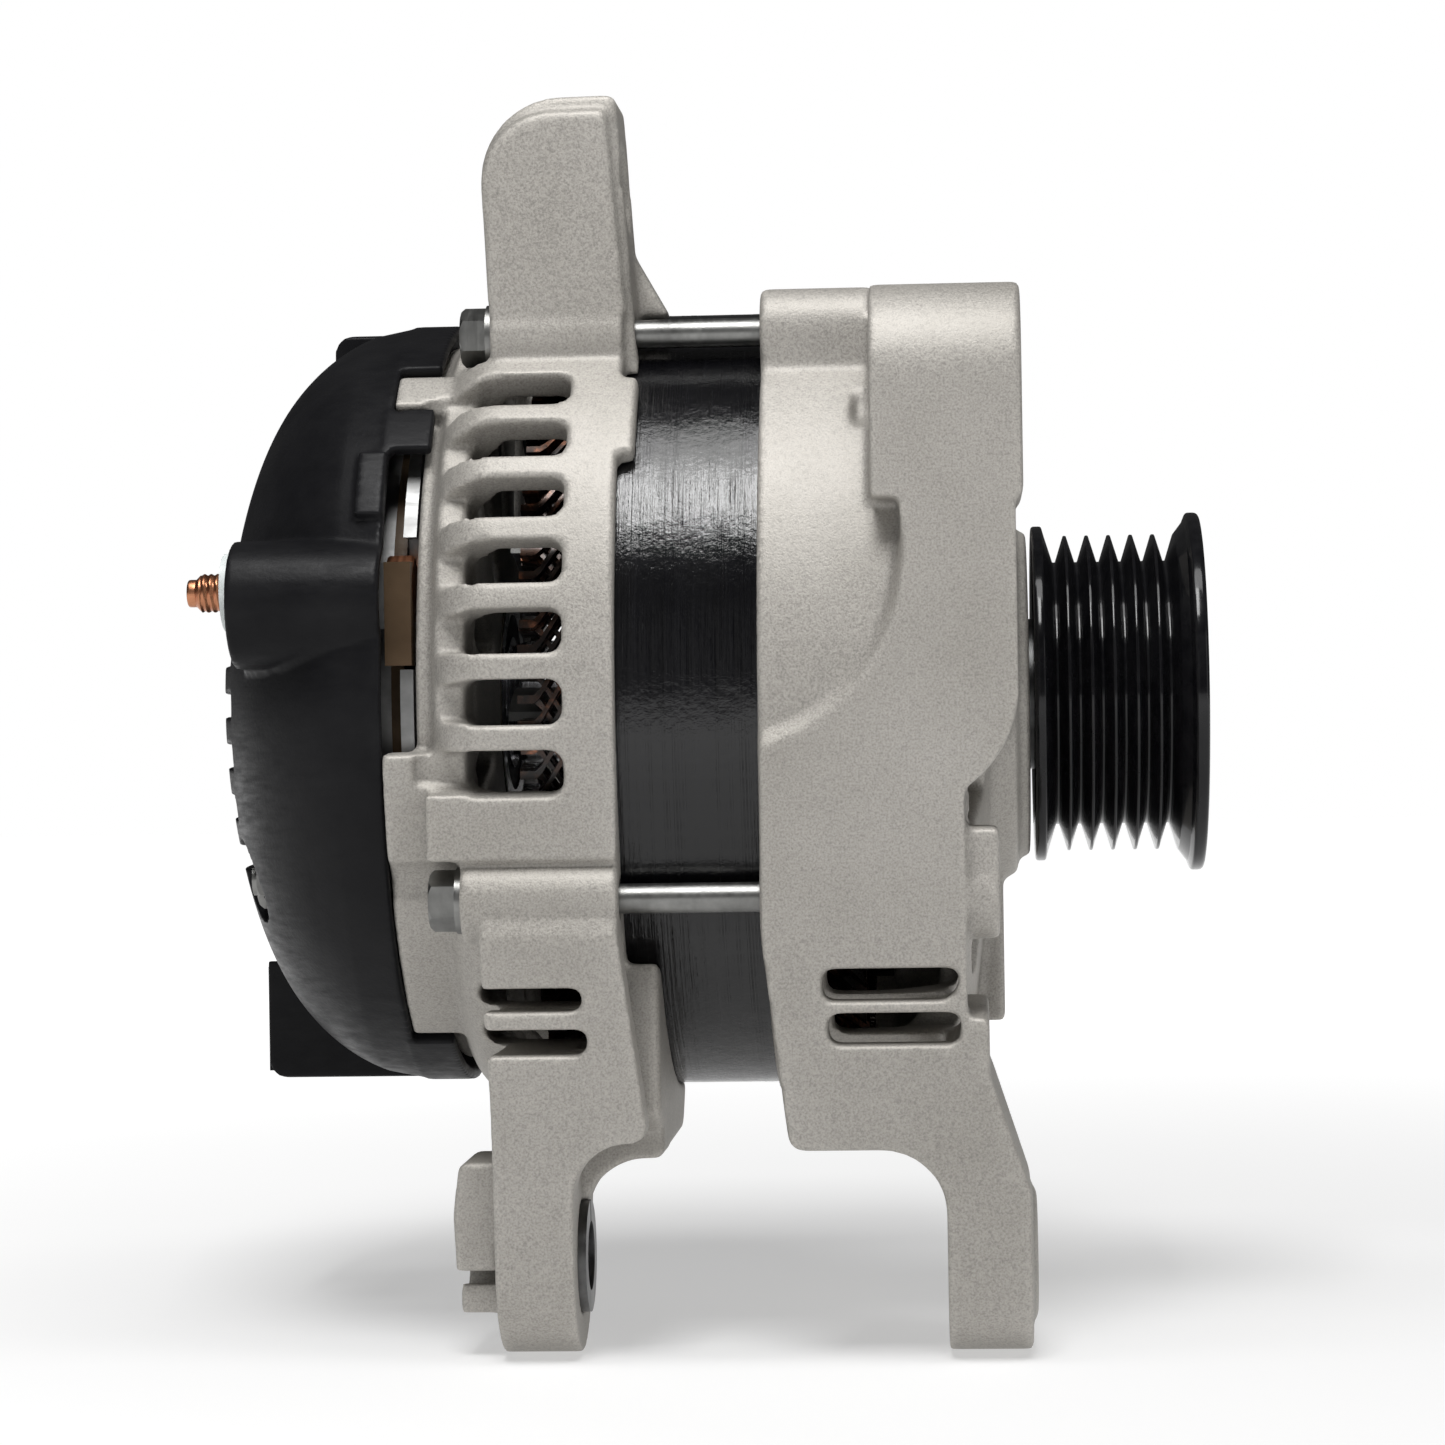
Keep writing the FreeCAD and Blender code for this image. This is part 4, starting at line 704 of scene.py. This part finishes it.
# Width in mm of the bevel on each node that keeps its CAD mesh.
BEVELS = {
    "through_bolts": 0.3, "pulley_nut": 0.4, "spacer_collar": 0.3, "rear_ear_bush": 0.3,
    "b_plus_insulator": 0.4, "b_plus_nut": 0.3, "cover_nuts": 0.25, "cover_studs": 0.2,
    "connector_socket": 0.4, "connector_pins": 0.12, "regulator_body": 0.6,
    "regulator_heat_sink": 0.25, "rectifier_positive_plate": 0.3, "rectifier_negative_plate": 0.3,
    "rectifier_insulator": 0.3, "rectifier_diodes": 0.3, "front_claw_pole": 0.5,
    "rear_claw_pole": 0.5, "front_fan": 0.2, "rear_fan": 0.2, "bearing_retainer_plate": 0.3,
    "retainer_screws": 0.25, "brush_holder": 0.3, "brush_positive": 0.2, "brush_negative": 0.2,
    "rotor_shaft": 0.2, "slip_rings": 0.15, "slip_ring_insulator": 0.15, "slip_ring_guard": 0.25,
    "coil_bobbin": 0.2, "field_coil": 0.4, "front_bearing_outer_ring": 0.25,
    "front_bearing_inner_ring": 0.2, "rear_bearing_outer_ring": 0.25,
    "rear_bearing_inner_ring": 0.2, "rear_bearing_sleeve": 0.2,
}


def dress_cad_nodes():
    for node, obj in NODES.items():
        dress(obj, slot_of(node))
        if node in BEVELS:
            bevelled(node, BEVELS[node])


# ---- studio -------------------------------------------------------------------------------

CAMERA_DISTANCE = 0.655
CAMERA_YAW = math.radians(3.6)
CAMERA_ROLL = math.radians(0.9)
CAMERA_TARGET = Vector((-0.0633, 0.0, -0.0039))
SENSOR = 36.0
LENS = 99.65


def camera():
    """Looks along +Y from a little to the pulley's side, rolled slightly."""
    data = bpy.data.cameras.new("camera")
    data.sensor_width = SENSOR
    data.lens = LENS
    obj = bpy.data.objects.new("camera", data)
    bpy.context.scene.collection.objects.link(obj)
    back = Vector((math.sin(CAMERA_YAW), -math.cos(CAMERA_YAW), 0.0))
    right = Vector((math.cos(CAMERA_YAW), math.sin(CAMERA_YAW), 0.0))
    up = Vector((0.0, 0.0, 1.0))
    across = right * math.cos(CAMERA_ROLL) - up * math.sin(CAMERA_ROLL)
    above = up * math.cos(CAMERA_ROLL) + right * math.sin(CAMERA_ROLL)
    obj.matrix_world = Matrix.Translation(CAMERA_TARGET + back * CAMERA_DISTANCE) @ Matrix(
        (across, above, back)).transposed().to_4x4()
    bpy.context.scene.camera = obj


def softbox(name, place_at, aim, size, power):
    data = bpy.data.lights.new(name, "AREA")
    data.shape = "RECTANGLE"
    data.size, data.size_y = size
    data.energy = power
    obj = bpy.data.objects.new(name, data)
    bpy.context.scene.collection.objects.link(obj)
    obj.location = place_at
    obj.rotation_mode = "QUATERNION"
    obj.rotation_quaternion = (Vector(aim) - Vector(place_at)).to_track_quat("-Z", "Y")
    return obj


# Name, place, size and watts of each softbox; all of them face the middle of the part.
SOFTBOXES = (("key_above", (-0.10, -0.62, 1.0), (0.36, 0.40), 9.0),
             ("top_fill", (-0.06, -0.30, 1.15), (1.2, 0.34), 8.0),
             ("front_fill", (-0.5, -1.5, 0.25), (0.9, 0.9), 0.6),
             ("right_fill", (1.3, -0.7, 0.35), (0.5, 0.9), 1.8))
ROOM = (0.04, 0.04, 0.04, 1.0)      # what pieces see of the room
BACKDROP = (1.0, 1.0, 1.0, 1.0)     # what the camera sees of it


def studio():
    middle = (CAD_LOW + CAD_HIGH) / 2
    for name, place_at, size, power in SOFTBOXES:
        softbox(name, place_at, middle, size, power)
    world = bpy.data.worlds.new("studio")
    world.use_nodes = True
    tree = world.node_tree
    background = tree.nodes["Background"]
    path = tree.nodes.new("ShaderNodeLightPath")
    mix = tree.nodes.new("ShaderNodeMix")
    mix.data_type = "RGBA"
    mix.inputs[MIX_COLOUR_A].default_value = ROOM
    mix.inputs[MIX_COLOUR_B].default_value = BACKDROP
    tree.links.new(path.outputs["Is Camera Ray"], mix.inputs[MIX_FACTOR])
    tree.links.new(mix.outputs[MIX_COLOUR_OUT], background.inputs["Color"])
    bpy.context.scene.world = world
    bpy.context.scene.view_settings.view_transform = "Standard"


FLOOR_GAP = 0.0004
FLOOR_REACH = 3.0
FLOOR_ROWS = 24


def floor():
    level = CAD_LOW.z - FLOOR_GAP
    lines = [FLOOR_REACH * (2 * line / FLOOR_ROWS - 1) for line in range(FLOOR_ROWS + 1)]
    verts = [Vector((x, y, level)) for y in lines for x in lines]
    faces = []
    for row in range(FLOOR_ROWS):
        for column in range(FLOOR_ROWS):
            corner = row * (FLOOR_ROWS + 1) + column
            faces.append((corner, corner + 1, corner + FLOOR_ROWS + 2, corner + FLOOR_ROWS + 1))
    obj = mesh_object("studio_floor", verts, faces)
    obj.data.materials.append(floor_paper())


dress_cad_nodes()
for settings in ROUNDED:
    rounded_copy(*settings)
pulley()
output_stud()
lamination_edges()
hairpin_winding()
brush_spring("positive")
brush_spring("negative")
camera()
studio()
floor()
